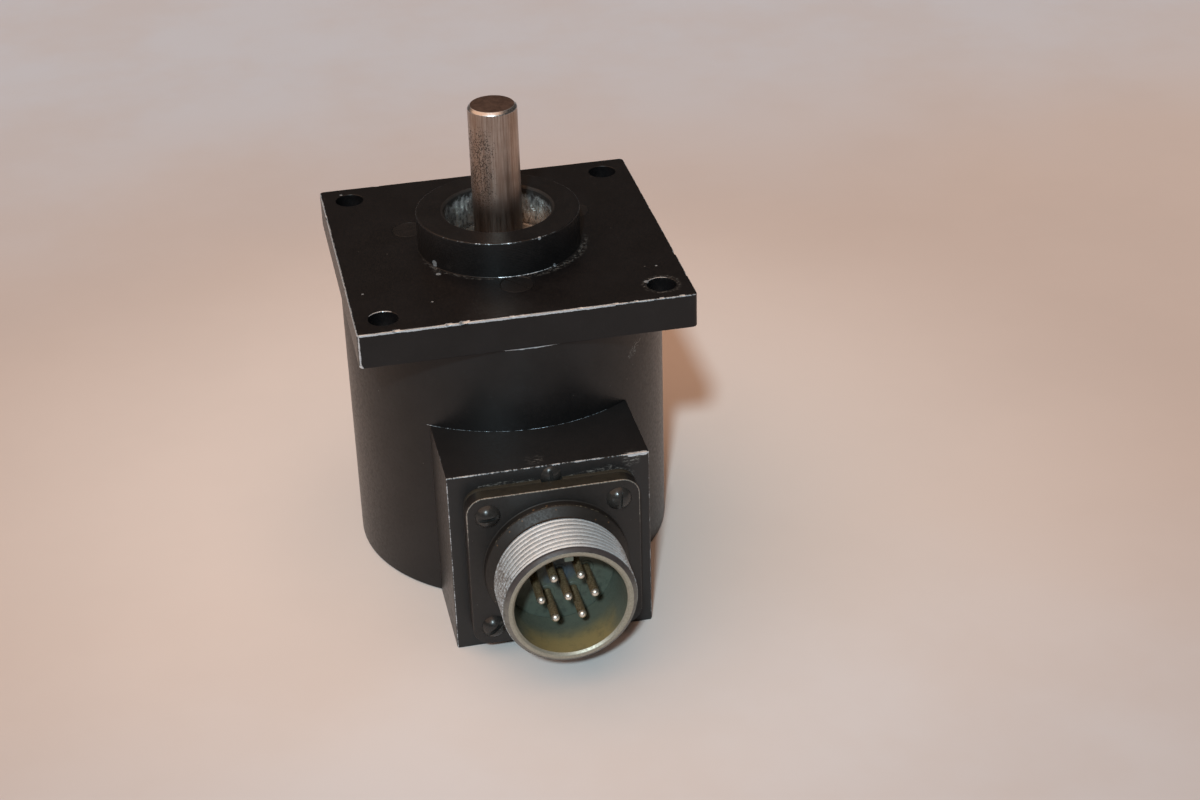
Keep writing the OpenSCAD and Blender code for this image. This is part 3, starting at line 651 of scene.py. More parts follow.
def shell_finish(name, coat, low_coat, worn=None, metal=(0.75, 0.75, 0.74), fade=(-4.0, -9.0), roughness=0.45,
                 flecks=None, stain=None, frosted=0.0, dirt=0.5, shine=0.9):
    """Coated connector metal. coat turns to low_coat below the fade heights, from the connector's axis.
    worn gives where metal shows, and shine how metallic it is. stain gives where the coat has another
    colour, as (mask, colour). frosted is the strength of a fine grain, and dirt that of the grime."""
    m = Material(name, roughness=roughness)
    fine = m.noise(2.2, 4, 0.65)
    up = m.ragged(m.minus(m.z, CONN_Z), 0.4, 4.0)
    colour = m.mix(m.ramp(up, *fade), coat, low_coat)
    if stain:
        colour = m.mix(stain[0](m), colour, stain[1])
    grime = m.times(m.ramp(m.noise(0.7, 4, 0.65), 0.45, 0.72), dirt)
    colour = m.mix(grime, colour, shaded(coat, 0.45))
    if flecks:
        colour = m.mix(m.most(m.specks(0.8, 0.3, 0.14), m.specks(1.9, 0.5, 0.10)), colour, flecks)
    if worn:
        bare = m.ramp(m.ragged(m.ragged(worn(m), 2.2, 0.7), 8.0, 0.4), 0.40, 0.66)
        mottled = m.mix(m.ramp(m.noise(3.5, 4, 0.7), 0.35, 0.65), shaded(metal, 0.8), metal)
        colour = m.mix(bare, colour, mottled)
        m.out("Metallic", m.times(bare, shine))
    dust = m.most(m.specks(1.1, 0.16, 0.14), m.specks(2.7, 0.24, 0.14))
    colour = m.mix(m.times(dust, 0.5), colour, (0.42, 0.40, 0.36))
    m.out("Base Color", colour)
    m.out("Roughness", m.add(m.ramp(fine, 0.25, 0.75, roughness - 0.08, roughness + 0.1), m.times(dust, 0.2)))
    height = m.add(m.times(fine, 0.5), m.times(m.noise(8.0, 3, 0.6), 0.3))
    if frosted:
        height = m.add(height, m.times(m.noise(4.0, 4, 0.75), frosted))
    m.bump(height, 0.35)
    return m.data


def pin_metal():
    """Tarnished gilt sides with rubbed silver tips."""
    m = Material("contact pins", roughness=0.3, metallic=1.0)
    fine = m.noise(2.5, 4, 0.65)
    out = m.ragged(m.times(m.y, -1.0), 2.5, 0.9)
    side = m.mix(m.ramp(fine, 0.35, 0.7), (0.22, 0.145, 0.075), (0.52, 0.38, 0.22))
    m.out("Metallic", m.ramp(out, PIN_TIP - 0.9, PIN_TIP - 0.25, 0.6, 1.0))
    m.out("Base Color", m.mix(m.ramp(out, PIN_TIP - 0.9, PIN_TIP - 0.25), side, (0.86, 0.83, 0.76)))
    m.out("Roughness", m.ramp(fine, 0.3, 0.7, 0.28, 0.48))
    m.bump(fine, 0.2, 0.02)
    return m.data


def insert_finish():
    """Moulded insulator, blue-grey in the middle and filmed green like the bore towards its edge."""
    m = Material("connector insulator", roughness=0.5)
    film = m.ramp(m.ragged(m.radius("Y"), 0.6, 3.0), 1.8, 4.0)
    colour = m.mix(film, (0.050, 0.072, 0.092), (0.095, 0.112, 0.088))
    colour = m.mix(m.times(m.ramp(m.noise(0.9, 4, 0.65), 0.45, 0.7), 0.5), colour, (0.030, 0.034, 0.030))
    m.out("Base Color", colour)
    m.out("Roughness", m.ramp(m.noise(1.5, 3, 0.6), 0.3, 0.7, 0.42, 0.60))
    m.bump(m.noise(4.0, 3, 0.6), 0.15)
    return m.data


def circuit_board():
    """Green lacquer with copper tracks faint under it."""
    m = Material("circuit board", roughness=0.35)
    breaks = m.ramp(m.noise(0.25, 1, 0.5, m.stretch(1.0, 0.25, 1.0)), 0.48, 0.52)
    tracks = m.times(m.ramp(m.math("SINE", m.times(m.x, 3.1)), 0.55, 0.7), breaks)
    m.out("Base Color", m.mix(tracks, (0.012, 0.085, 0.035), (0.05, 0.20, 0.075)))
    m.bump(tracks, 0.3, 0.04)
    return m.data


# ---------------------------------------------------------------- wear and painted highlights on the paint

# Dents along the flange's top edges: place along the edge, half width, depth.
FRONT_DENTS = ((-24.5, 0.6, 0.65), (-14.8, 0.5, 0.60), (-11.9, 0.8, 0.90), (-3.2, 0.4, 0.40),
               (-1.4, 0.4, 0.30), (9.5, 0.4, 0.35), (16.2, 0.5, 0.35), (20.1, 0.35, 0.30),
               (24.9, 0.35, 0.25), (28.8, 0.4, 0.30))
LEFT_DENTS = ((-12.1, 0.5, 0.30), (19.4, 0.7, 0.45), (25.0, 0.4, 0.2))
RIGHT_DENTS = ((-23.3, 0.6, 0.35), (-13.9, 0.7, 0.45), (7.0, 0.5, 0.22))
BACK_DENTS = ((4.0, 0.8, 0.25), (-20.0, 0.6, 0.2))
BLOCK_DENTS = ((16.9, 1.0, 0.35), (15.0, 0.5, 0.25), (-4.0, 0.6, 0.14), (-16.0, 0.7, 0.16))

EDGE = FLANGE_W / 2 - 0.12
NEAR_EDGE = 0.15


def flange_wear_and_highlights(m):
    top = -NEAR_EDGE
    edges = (
        ((-EDGE, -EDGE, top), (16.0, -EDGE, top), 0.48, 1.0),
        ((16.0, -EDGE, top), (EDGE, -EDGE, top), 0.36, 0.74),
        ((-EDGE, -EDGE, top), (-EDGE, EDGE, top), 0.42, 0.80),
        ((EDGE, -EDGE, top), (EDGE, EDGE, top), 0.4, 0.58),
        ((-EDGE, EDGE, top), (EDGE, EDGE, top), 0.4, 0.52),
        ((-EDGE, -EDGE, 0), (-EDGE, -EDGE, FLANGE_Z), 0.6, 0.90),
        ((EDGE, -EDGE, 0), (EDGE, -EDGE, FLANGE_Z), 0.5, 0.55),
    )
    chips = (
        ((-EDGE, -EDGE, FLANGE_Z + NEAR_EDGE), 1.3),
        ((-13.6, -7.6, 0.7), 1.3),
        ((5.4, -14.9, PILOT_TOP - 0.2), 0.6),
        ((8.3, -13.7, 0.3), 0.6),
        ((-27.6, 29.2, 0.0), 0.5),
        ((-28.7, -15.6, 0.0), 0.40),
        ((-16.5, -22.0, 0.0), 0.40),
        ((23.7, -24.4, 0.0), 0.85),
        ((27.5, -24.6, -0.2), 0.6),
        ((27.0, -18.5, 0.0), 0.4),
    )
    # Far rims of the two front mounting holes: partly worn metal, partly a painted highlight.
    hole_rim_wear_and_highlight = ((-MOUNT_AT, (-0.2, 1), 0.24, 0.80), (MOUNT_AT, (-0.3, 1), 0.22, 0.74))
    masks = m.worn_lines(edges)
    masks += [m.near(place, reach) for place, reach in chips]
    masks += [
        m.times(m.near((-13.7, -11.1, 0.0), 1.0), 0.8),
        # Front half of the boss's top lip: partly worn metal, partly a painted highlight.
        m.times(m.rim(PILOT_R - 0.15, PILOT_TOP - 0.15, 0.26, (-0.15, -1), (0.1, 0.85)), 0.68),
        m.times(m.rim(PILOT_R, 0.0, 0.30, (0.15, -1), (0.75, 0.98)), 0.66),
    ]
    for place, half, depth in FRONT_DENTS:
        inset = -EDGE + 0.45 * depth
        ends = [(place + side * 0.8 * half, inset, -0.1) for side in (-1, 1)]
        masks.append(m.along(*ends, 0.30 + 0.35 * depth))
    masks += [m.times(m.rim(MOUNT_HOLE_R + 0.1, 0.0, reach, facing, (0.35, 0.9), cx, -MOUNT_AT), level)
              for cx, facing, reach, level in hole_rim_wear_and_highlight]
    return masks


def flange_scuffs(m):
    return [
        m.times(m.rim(PILOT_R + 0.9, 0.0, 1.5, (0.7, -0.7), (0.6, 0.95)), 0.6),
        m.times(m.rim(PILOT_R + 0.4, 0.0, 1.2, (-0.7, -0.7), (0.7, 0.95)), 0.55),
        m.times(m.rim(MOUNT_HOLE_R + 0.5, 0.0, 1.1, cx=MOUNT_AT, cy=-MOUNT_AT), 0.5),
    ]


def housing_wear(m):
    front = -BLOCK_FRONT + NEAR_EDGE
    side = BLOCK_HALF - NEAR_EDGE
    top = BLOCK_TOP - NEAR_EDGE
    meets_can = -26
    edges = (
        ((-side, front, top), (side, front, top), 0.34, 0.74),
        ((side - 3.6, front, top), (side - 0.6, front, top), 0.8, 0.95),
        ((-side, front, top), (-side, front, FLOOR_Z), 0.40, 0.54),
        ((side, front, top), (side, front, FLOOR_Z), 0.35, 0.48),
        ((-side, front, top), (-side, meets_can, top), 0.35, 0.50),
    )
    return m.worn_lines(edges) + [
        m.times(m.rim(CAN_R, BLOCK_TOP, 0.24, (-0.1, -1), (0.80, 0.86)), 0.51),
        m.times(m.rim(CAN_R - 0.1, FLANGE_Z - 0.15, 0.40, (0.0, -1), (0.976, 0.985)), 0.90),
        m.times(m.rim(CAN_R - 0.1, FLOOR_Z + 0.2, 0.4), 0.5),
    ]


def housing_scuffs(m):
    face = -BLOCK_FRONT
    under = BLOCK_TOP - 1.0
    rubs = (((3.2, face, -27.8), (8.4, face, -27.0), 0.7), ((8.4, face, -27.0), (11.5, face, -27.0), 0.7),
            ((8.7, face, -28.0), (11.7, face, -28.0), 0.6), ((11.3, face, -27.1), (15.3, face, -28.8), 1.3),
            ((-12.9, face, -27.4), (-6.8, face, -27.0), 0.7), ((-5.9, face, -27.5), (-3.1, face, -27.2), 0.5))
    nick = (((22.9, -21.5, -13.6), (22.0, -22.4, -14.2), 0.6),
            ((21.8, -22.6, -14.3), (21.0, -23.4, -15.1), 1.5),
            ((20.7, -23.6, -15.4), (20.2, -24.0, -15.7), 0.9))
    masks = [m.along(*line) for line in rubs + nick]
    masks.append(m.near((BLOCK_HALF - 3.5, face, under), 2.4))
    masks.append(m.times(m.near((-2.0, 2.4 - BLOCK_FRONT, BLOCK_TOP), 4.0), 0.45))
    return masks


def block_paler_faces(m):
    """Paler on the connector block's front and top faces."""
    front = m.times(m.ramp(m.y, 0.5 - BLOCK_FRONT, 0.1 - BLOCK_FRONT), 0.55)
    beyond_can = m.ramp(m.radius(), CAN_R + 0.05, CAN_R + 0.25)
    top = m.times(m.times(m.ramp(m.z, BLOCK_TOP - 0.3, BLOCK_TOP - 0.1), beyond_can), 0.35)
    return m.most(front, top)


def recess_finish():
    """Bare machined wall of the recess, mottled, and black where paint ran over its lip."""
    m = Material("machined recess", roughness=0.25, metallic=1.0)
    cloud = m.noise(0.55, 4, 0.7, m.stretch(1.0, 1.0, 0.5))
    colour = m.mix(m.ramp(cloud, 0.38, 0.66), (0.80, 0.83, 0.85), (0.13, 0.135, 0.14))
    grime = m.ramp(m.ragged(m.z, 0.8, 4.0), PILOT_TOP - 2.6, PILOT_TOP - 0.9)
    foot = m.ramp(m.ragged(m.z, 1.5, 1.2), 0.5, -0.4)
    colour = m.mix(grime, colour, (0.016, 0.014, 0.013))
    colour = m.mix(m.times(foot, 0.7), colour, (0.13, 0.11, 0.09))
    m.out("Base Color", colour)
    m.out("Metallic", m.minus(1.0, grime))
    m.out("Roughness", m.add(m.ramp(cloud, 0.3, 0.7, 0.18, 0.42), m.times(grime, 0.4)))
    streaks = m.noise(1.0, 4, 0.7, m.stretch(2.5, 2.5, 0.5))
    m.bump(m.add(streaks, cloud), 0.5, 0.06)
    return m.data


MATERIALS = {
    "flange": black_paint("flange paint", flange_wear_and_highlights, flange_scuffs, base=(0.0045, 0.0042, 0.0046)),
    "boss": black_paint("turned boss paint", flange_wear_and_highlights, base=(0.0058, 0.0055, 0.0058), turned=0.35),
    "recess": recess_finish(),
    "screw_paint": black_paint("painted screws", base=(0.020, 0.019, 0.018), roughness=0.24),
    "flange_screws": black_paint("flange screw paint", roughness=0.42),
    "housing": black_paint("housing paint", housing_wear, housing_scuffs, base=(0.0070, 0.0066, 0.0069),
                           pale=block_paler_faces),
    "cover": black_paint("rear cover paint", roughness=0.48),
    "gasket": shell_finish(
        "sealing gasket", (0.030, 0.025, 0.016), (0.018, 0.017, 0.015), fade=(15.6, 14.4), roughness=0.7,
        metal=(0.40, 0.38, 0.30),
        worn=lambda m: m.times(m.along((-12, -BLOCK_FRONT, PLATE_TOP), (12, -BLOCK_FRONT, PLATE_TOP), 0.4),
                               0.62)),
    "plate": shell_finish(
        "black connector plate", (0.0125, 0.0115, 0.0110), (0.0115, 0.0110, 0.0110), roughness=0.40,
        metal=(0.52, 0.51, 0.47),
        stain=(lambda m: m.times(m.ramp(m.z, PLATE_TOP - 0.35, PLATE_TOP - 0.15), 0.9),
               (0.024, 0.021, 0.014)),
        worn=lambda m: m.times(m.plate_edge(0.42), m.ramp(m.z, CONN_Z, PLATE_TOP - 3.0, 0.45, 0.92))),
    "collar": shell_finish(
        "collar", (0.0105, 0.0085, 0.0070), (0.010, 0.009, 0.008), roughness=0.55, flecks=(0.12, 0.065, 0.03),
        metal=(0.42, 0.40, 0.30),
        # Bare ring on the front edge, growing towards the top: partly wear, partly a painted highlight.
        worn=lambda m: m.times(m.ring_out(COLLAR_R - 0.15, -COLLAR_END + 0.15, 0.30),
                               m.ramp(m.z, CONN_Z, CONN_Z + 9.0, 0.3, 0.78))),
    "thread": shell_finish(
        # Bluish metal: a painted tint that copies the cool light falling on it.
        "worn thread with painted highlight and shade", (0.16, 0.165, 0.165), (0.11, 0.10, 0.09), roughness=0.42, metal=(0.76, 0.89, 0.98),
        # Below the fade heights the coat darkens: painted shade on the thread's lower sides.
        fade=(10.5, 4.0), frosted=1.0, dirt=0.5, shine=0.6,
        # Bare metal grows towards the top: partly worn crests, partly a painted highlight.
        worn=lambda m: m.times(m.ramp(m.radius("Y"), *WORN_FLANK),
                               m.ramp(m.z, CONN_Z + 5.0, CONN_Z + 12.0, 0.50, 0.95))),
    "land": shell_finish(
        "shell rim", (0.050, 0.043, 0.044), (0.17, 0.158, 0.138), roughness=0.48, metal=(0.42, 0.40, 0.33),
        fade=(7.0, -1.0), frosted=0.5, shine=0.65,
        worn=lambda m: m.times(m.ramp(m.radius("Y"), RIM_FACE_R + 0.12, RIM_FACE_R - 0.08), 0.78)),
    "bore": shell_finish(
        "olive shell bore", (0.120, 0.138, 0.110), (0.120, 0.130, 0.098), roughness=0.5, dirt=0.3,
        stain=(lambda m: m.times(m.ramp(m.ragged(m.y, 0.5, 2.0), -54.5, -60.0),
                                 m.ramp(m.ragged(m.z, 0.4, 3.0), CONN_Z - 4.0, CONN_Z - 9.0)),
               (0.27, 0.21, 0.09))),
    "insert": insert_finish(),
    "pins": pin_metal(),
    "shaft": shaft_steel(),
    "steel": turned_metal("bright steel", (0.66, 0.65, 0.63), roughness=0.25),
    "plated": turned_metal("plated steel", (0.55, 0.52, 0.47), roughness=0.34, stain=(0.20, 0.14, 0.09)),
    "aluminium": turned_metal("turned aluminium", (0.76, 0.77, 0.78), roughness=0.3, stains=0.1),
    "brass": turned_metal("machined brass", (0.78, 0.60, 0.30), roughness=0.3, stain=(0.30, 0.19, 0.08)),
    "rubber": moulded("black rubber", (0.022, 0.022, 0.023), 0.75, variation=0.3),
    "plastic": moulded("moulded plastic", (0.028, 0.028, 0.030), 0.45, variation=0.3),
    "glass": moulded("clear glass", (0.80, 0.86, 0.88), 0.08, variation=0.05, bump=0.02,
                     Transmission_Weight=0.85, IOR=1.5),
    "disc": moulded("etched disc", (0.52, 0.54, 0.56), 0.18, metallic=1.0, variation=0.1, bump=0.04),
    "sensor": moulded("sensor face", (0.05, 0.06, 0.10), 0.15, variation=0.3, bump=0.05),
    "board": circuit_board(),
    "lead": moulded("lead sleeving", (0.72, 0.70, 0.63), 0.5, variation=0.15),
}

# ---------------------------------------------------------------- fixed painted parts


def dented(at, dents):
    return sum(depth * math.exp(-(((at - place) / half) ** 4)) for place, half, depth in dents)


def worn_bevel(outline, base, uneven, dents_on=lambda out: ()):
    """Width of the worn bevel at each point of an outline.
    dents_on gives the dents for an outward direction."""
    widths = []
    for p, out in outline:
        ragged = 0.6 * wobble(p.x, p.y, 0.35) + 0.4 * wobble(p.x, p.y, 1.6)
        along = p.x if abs(out.y) > abs(out.x) else p.y
        dents = dents_on(out)
        widths.append(max(base + uneven * ragged + dented(along, dents), 0.06))
    return widths


def edge_rings(b, outline, widths, z, down):
    """Three rings round a worn edge, from the flat face at z to the side wall. down is -1 or 1."""
    rings = []
    for inward, drop in ((1.0, 0.0), (0.30, 0.30), (0.0, 1.0)):
        points = []
        for (p, out), w in zip(outline, widths):
            q = p - out * w * inward
            points.append((q.x, q.y, z + down * w * drop))
        rings.append(b.ring(points))
    return rings


def hole(b, r, top, bottom, n=48, cx=0.0, cy=0.0):
    """Drilled hole with lightly rounded edges. Returns its top and bottom rings, for the faces around it."""
    off = 0.15
    path = softened(((r + off, top, 0), (r, top, off), (r, bottom, off), (r + off, bottom, 0)))
    return b.lathe(path, n, cx, cy)


CORNERS = [(sx, sy) for sx in (-1, 1) for sy in (-1, 1)]
CONN_SCREW_PLACES = [(sx * CONN_SCREW_AT, sy * CONN_SCREW_AT) for sx, sy in CORNERS]


def mounting_flange():
    BOSS, RECESS = 1, 2        # 0 is the plate's paint
    b = Builder()
    outline = square_outline(FLANGE_W, FLANGE_W, CORNER_R, step=0.35, corner_steps=6)

    def top_dents(out):
        if out.y < -0.9:
            return FRONT_DENTS
        if out.y > 0.9:
            return BACK_DENTS
        return RIGHT_DENTS if out.x > 0.9 else LEFT_DENTS if out.x < -0.9 else ()

    top_edge = edge_rings(b, outline, worn_bevel(outline, 0.20, 0.10, top_dents), 0.0, -1)
    low_edge = edge_rings(b, outline, worn_bevel(outline, 0.20, 0.06), FLANGE_Z, 1)
    b.strips(*top_edge, *reversed(low_edge))
    mounts = [hole(b, MOUNT_HOLE_R, 0.0, FLANGE_Z, 64, sx * MOUNT_AT, sy * MOUNT_AT) for sx, sy in CORNERS]
    seats = []
    for degrees, gap, _, _ in FLANGE_SCREWS:
        seat_r = FLANGE_SCREW_R + gap
        seat = ((seat_r + 0.04, 0.0), (seat_r, -0.04), (HEAD_HOLE_R, -1.9), (HEAD_HOLE_R, FLANGE_Z))
        seats.append(b.lathe(seat, 48, *on_circle(SCREW_CIRCLE, degrees)))
    boss = softened(((PILOT_R + 0.18, 0.0, 0), (PILOT_R, 0.0, 0.18), (PILOT_R, PILOT_TOP, 0.30),
                     (RECESS_R + 0.5, PILOT_TOP, 0)))
    foot, mouth = b.lathe(boss, 192, mat=BOSS)
    b.fill(top_edge[0], foot, *[top for top, _ in mounts + seats])
    chamfer = 0.42
    recess = softened(((RECESS_R + 0.5, PILOT_TOP, 0), (RECESS_R + chamfer, PILOT_TOP, 0.08),
                       (RECESS_R, PILOT_TOP - chamfer, 0.15), (RECESS_R, NOSE_Z, 0.12),
                       (RECESS_R + 0.4, NOSE_Z, 0)))
    start, lip = b.lathe(recess, 192, mat=RECESS)
    b.strip(mouth, start, BOSS)
    bore = ((NOSE_R, NOSE_Z), (NOSE_R, FLANGE_Z + 0.3), (NOSE_R + 0.3, FLANGE_Z))
    seat_top, seat_low = b.lathe(bore, 192, mat=RECESS)
    b.strip(lip, seat_top, RECESS)
    groove_z = FLANGE_Z + 1.3
    groove = ((ORING_IN, FLANGE_Z), (ORING_IN, groove_z), (ORING_OUT, groove_z), (ORING_OUT, FLANGE_Z))
    groove_in, groove_out = b.lathe(groove, 192)
    b.fill(groove_in, seat_low, *[low for _, low in seats])
    b.fill(low_edge[0], groove_out, *[low for _, low in mounts])
    return b.piece("painted_mounting_flange", [MATERIALS["flange"], MATERIALS["boss"], MATERIALS["recess"]])


SCREW_TIP = 0.4            # chamfer


def flat_head(name, material, head_r, head_h, shank_r, length, slot_w, slot_depth, sunk=0.05, turn=0.0):
    """Countersunk slotted screw, pointing down with its face just below z = 0."""
    b = Builder()
    path = softened(((0, -sunk, 0), (head_r, -sunk, 0.08), (head_r, -sunk - 0.12, 0.04),
                     (shank_r, -head_h, 0.1), (shank_r, -length + SCREW_TIP, 0.05),
                     (shank_r - SCREW_TIP, -length, 0.05), (0, -length, 0)))
    b.rod(path, 48)
    return slotted(b.piece(name, [material]), head_r, -sunk, slot_w, slot_depth, turn)


def dome_head(name, material, head_r, head_h, shank_r, length, slot_w, slot_depth, turn=0.0):
    """Domed slotted screw, pointing down with its head standing on z = 0."""
    b = Builder()
    dome_r = (head_r ** 2 + head_h ** 2) / (2 * head_h)
    half = math.asin(head_r / dome_r)
    steps = 12
    path = [(dome_r * math.sin(half * i / steps), head_h - dome_r + dome_r * math.cos(half * i / steps))
            for i in range(steps + 1)]
    path += [(head_r - 0.05, 0.0), (shank_r, 0.0), (shank_r, -length + SCREW_TIP),
             (shank_r - SCREW_TIP, -length), (0, -length)]
    b.rod(path, 48)
    return slotted(b.piece(name, [material]), head_r, head_h, slot_w, slot_depth, turn)


def slotted(screw, head_r, top, slot_w, slot_depth, turn):
    """Cuts the driver slot across a screw's head, then turns the screw."""
    b = Builder()
    corners = ((-1, -1), (1, -1), (1, 1), (-1, 1))
    rings = [b.ring([(sx * (head_r + 1), sy * slot_w / 2, z) for sx, sy in corners])
             for z in (top - slot_depth, top + 1)]
    b.strips(*rings)
    for r in rings:
        b.bm.faces.new(r)
    combine(screw, "DIFFERENCE", [b.piece("tool")])
    return moved(screw, Matrix.Rotation(math.radians(turn), 4, "Z"))


def flange_screws():
    screws = []
    for degrees, _, sunk, slot_depth in FLANGE_SCREWS:
        screw = flat_head("screw", MATERIALS["flange_screws"], head_r=FLANGE_SCREW_R, head_h=1.8, shank_r=1.5,
                          length=13.9, slot_w=0.6, slot_depth=slot_depth, sunk=sunk, turn=35)
        place = Matrix.Rotation(math.radians(degrees), 4, "Z") @ Matrix.Translation((SCREW_CIRCLE, 0, 0))
        screws.append(moved(screw, place))
    return joined("painted_flange_screws", screws)


def block_solid():
    """Connector block, reaching back into the round housing, with its worn upper and front edges."""
    b = Builder()
    back = 15.0
    depth = BLOCK_FRONT - back
    outline = square_outline(2 * BLOCK_HALF, depth, r=0.45, step=0.4, corner_steps=4)
    middle = Vector((0, -(BLOCK_FRONT + back) / 2))

    def dents(out):
        return BLOCK_DENTS if out.y < -0.9 else ()

    top = worn_bevel(outline, 0.20, 0.07, dents)
    low = worn_bevel(outline, 0.22, 0.06)
    placed = [(p + middle, out) for p, out in outline]
    top_edge = edge_rings(b, placed, top, BLOCK_TOP, -1)
    low_edge = edge_rings(b, placed, low, FLOOR_Z, 1)
    b.strips(*top_edge, *reversed(low_edge))
    b.fill(top_edge[0])
    b.fill(low_edge[0])
    return b.piece("block")


def housing():
    b = Builder()
    outer = softened(((0, FLOOR_Z, 0), (CAN_R - 0.4, FLOOR_Z, 0.1), (CAN_R, FLOOR_Z + 0.4, 0.1),
                      (CAN_R, FLANGE_Z, 0.25), (0, FLANGE_Z, 0)))
    b.rod(outer, 256)
    can = b.piece("painted_housing", [MATERIALS["housing"]])
    combine(can, "UNION", [block_solid()])
    under = FLOOR_Z - 1
    inside = tool(((0, under), (LID_SEAT_R + 0.3, under), (LID_SEAT_R + 0.3, FLOOR_Z),
                   (LID_SEAT_R, FLOOR_Z + 0.3),
                   (LID_SEAT_R, LID_Z), (CAN_IN, LID_Z), (CAN_IN, TOP_WALL_Z), (CARTRIDGE_HOLE_R, TOP_WALL_Z),
                   (CARTRIDGE_HOLE_R, FLANGE_Z + 1), (0, FLANGE_Z + 1)), 192)
    cutters = [inside]
    for degrees, _, _, _ in FLANGE_SCREWS:
        place = on_circle(SCREW_CIRCLE, degrees)
        cutters.append(drill(WALL_HOLE_R, TOP_WALL_Z - 1, FLANGE_Z + 1, 32, *place))
    outward = BLOCK_FRONT + 1
    cutters.append(moved(drill(PORT_R, PORT_BACK, outward, 128), FACING_OUT))
    for place in CONN_SCREW_PLACES:
        tapping = drill(CONN_TAP_R, BLOCK_FRONT - CONN_TAP_DEPTH, outward, 32, *place)
        cutters.append(moved(tapping, FACING_OUT))
    cutters.append(moved(drill(BLOCK_SCREW_R + 0.05, -BLOCK_SCREW_LENGTH - 0.2, 1, 32), BLOCK_SCREW_PLACE))
    return combine(can, "DIFFERENCE", cutters)


BLOCK_SCREW_AT = (BLOCK_SCREW_X, -BLOCK_FRONT, BLOCK_TOP - BLOCK_SCREW_DROP)
# On the block's face, with +Z outwards.
BLOCK_SCREW_PLACE = Matrix.Translation(BLOCK_SCREW_AT) @ Matrix.Rotation(math.pi / 2, 4, "X")


def block_screw():
    screw = dome_head("painted_block_screw", MATERIALS["screw_paint"], BLOCK_SCREW_HEAD_R, BLOCK_SCREW_HEAD_H,
                      BLOCK_SCREW_R, BLOCK_SCREW_LENGTH, slot_w=0.6, slot_depth=0.45, turn=95)
    return moved(screw, BLOCK_SCREW_PLACE)


LID_R = LID_SEAT_R - 0.1
LID_SPIGOT_R = 28.5
LID_SPIGOT_IN = 20
LID_SPIGOT_Z = LID_Z + 3
LID_HEAD_R = 3.0


def rear_cover():
    """Disc with a spigot, an O-ring groove round it and four countersunk holes."""
    b = Builder()
    groove_r, groove_half, groove_z = 27, 1.1, LID_Z + 1.5
    outer = softened(((LID_R - 0.5, FLOOR_Z, 0), (LID_R - 0.4, FLOOR_Z, 0.1), (LID_R, FLOOR_Z + 0.4, 0.1),
                      (LID_R, LID_Z, 0.1), (LID_SPIGOT_R, LID_Z, 0),
                      (LID_SPIGOT_R, groove_z - groove_half, 0),
                      (groove_r, groove_z - groove_half, 0), (groove_r, groove_z + groove_half, 0),
                      (LID_SPIGOT_R, groove_z + groove_half, 0), (LID_SPIGOT_R, LID_SPIGOT_Z, 0.2),
                      (LID_SPIGOT_R - 0.3, LID_SPIGOT_Z, 0)))
    low_ring, top_ring = b.lathe(outer, 192)
    pocket = ((LID_SPIGOT_IN, LID_SPIGOT_Z), (LID_SPIGOT_IN, LID_Z))
    pocket_top, pocket_floor = b.lathe(pocket, 192)
    b.bm.faces.new(pocket_floor)
    seat = ((LID_HEAD_R + 0.11, FLOOR_Z), (LID_HEAD_R + 0.05, FLOOR_Z + 0.06), (HEAD_HOLE_R, FLOOR_Z + 1.8),
            (HEAD_HOLE_R, LID_SPIGOT_Z))
    seats = [b.lathe(seat, 48, *on_circle(LID_SCREW_CIRCLE, degrees)) for degrees in LID_SCREW_ANGLES]
    b.fill(low_ring, *[low for low, _ in seats])
    b.fill(top_ring, pocket_top, *[top for _, top in seats])
    return b.piece("painted_rear_cover", [MATERIALS["cover"]])


def rear_cover_screws():
    screws = []
    for degrees in LID_SCREW_ANGLES:
        screw = flat_head("screw", MATERIALS["plated"], head_r=LID_HEAD_R, head_h=1.7, shank_r=1.45,
                          length=9.0, slot_w=0.8, slot_depth=0.6, turn=20 + degrees * 1.7)
        x, y = on_circle(LID_SCREW_CIRCLE, degrees)
        place = Matrix.Translation((x, y, FLOOR_Z)) @ Matrix.Rotation(math.pi, 4, "X")
        screws.append(moved(screw, place))
    return joined("rear_cover_screw_set", screws)


# ---------------------------------------------------------------- connector


def plate_edges(b, back, front, front_reach, back_reach):
    """Outer wall of the connector's square plate or gasket. Returns the rings round its two faces."""
    outline = square_outline(CONN_W, CONN_W, PLATE_CORNER_R, step=0.8, corner_steps=14)
    front_edge = edge_rings(b, outline, worn_bevel(outline, front_reach, 0.04), front, -1)
    back_edge = edge_rings(b, outline, [back_reach] * len(outline), back, 1)
    b.strips(*front_edge, *reversed(back_edge))
    return front_edge[0], back_edge[0]


def gasket():
    b = Builder()
    front, back = plate_edges(b, BLOCK_FRONT, PLATE_BACK, 0.12, 0.1)
    holes = [hole(b, CONN_HOLE_R, PLATE_BACK, BLOCK_FRONT, 32, *place) for place in CONN_SCREW_PLACES]
    holes.append(hole(b, PORT_R, PLATE_BACK, BLOCK_FRONT, 128))
    b.fill(front, *[h[0] for h in holes])
    b.fill(back, *[h[1] for h in holes])
    plate = moved(b.piece("sealing_gasket_plate", [MATERIALS["gasket"]]), FACING_OUT)
    notch = drill(BLOCK_SCREW_HEAD_R + 0.15, -0.5, 1.5, 48)
    return combine(plate, "DIFFERENCE", [moved(notch, BLOCK_SCREW_PLACE)])


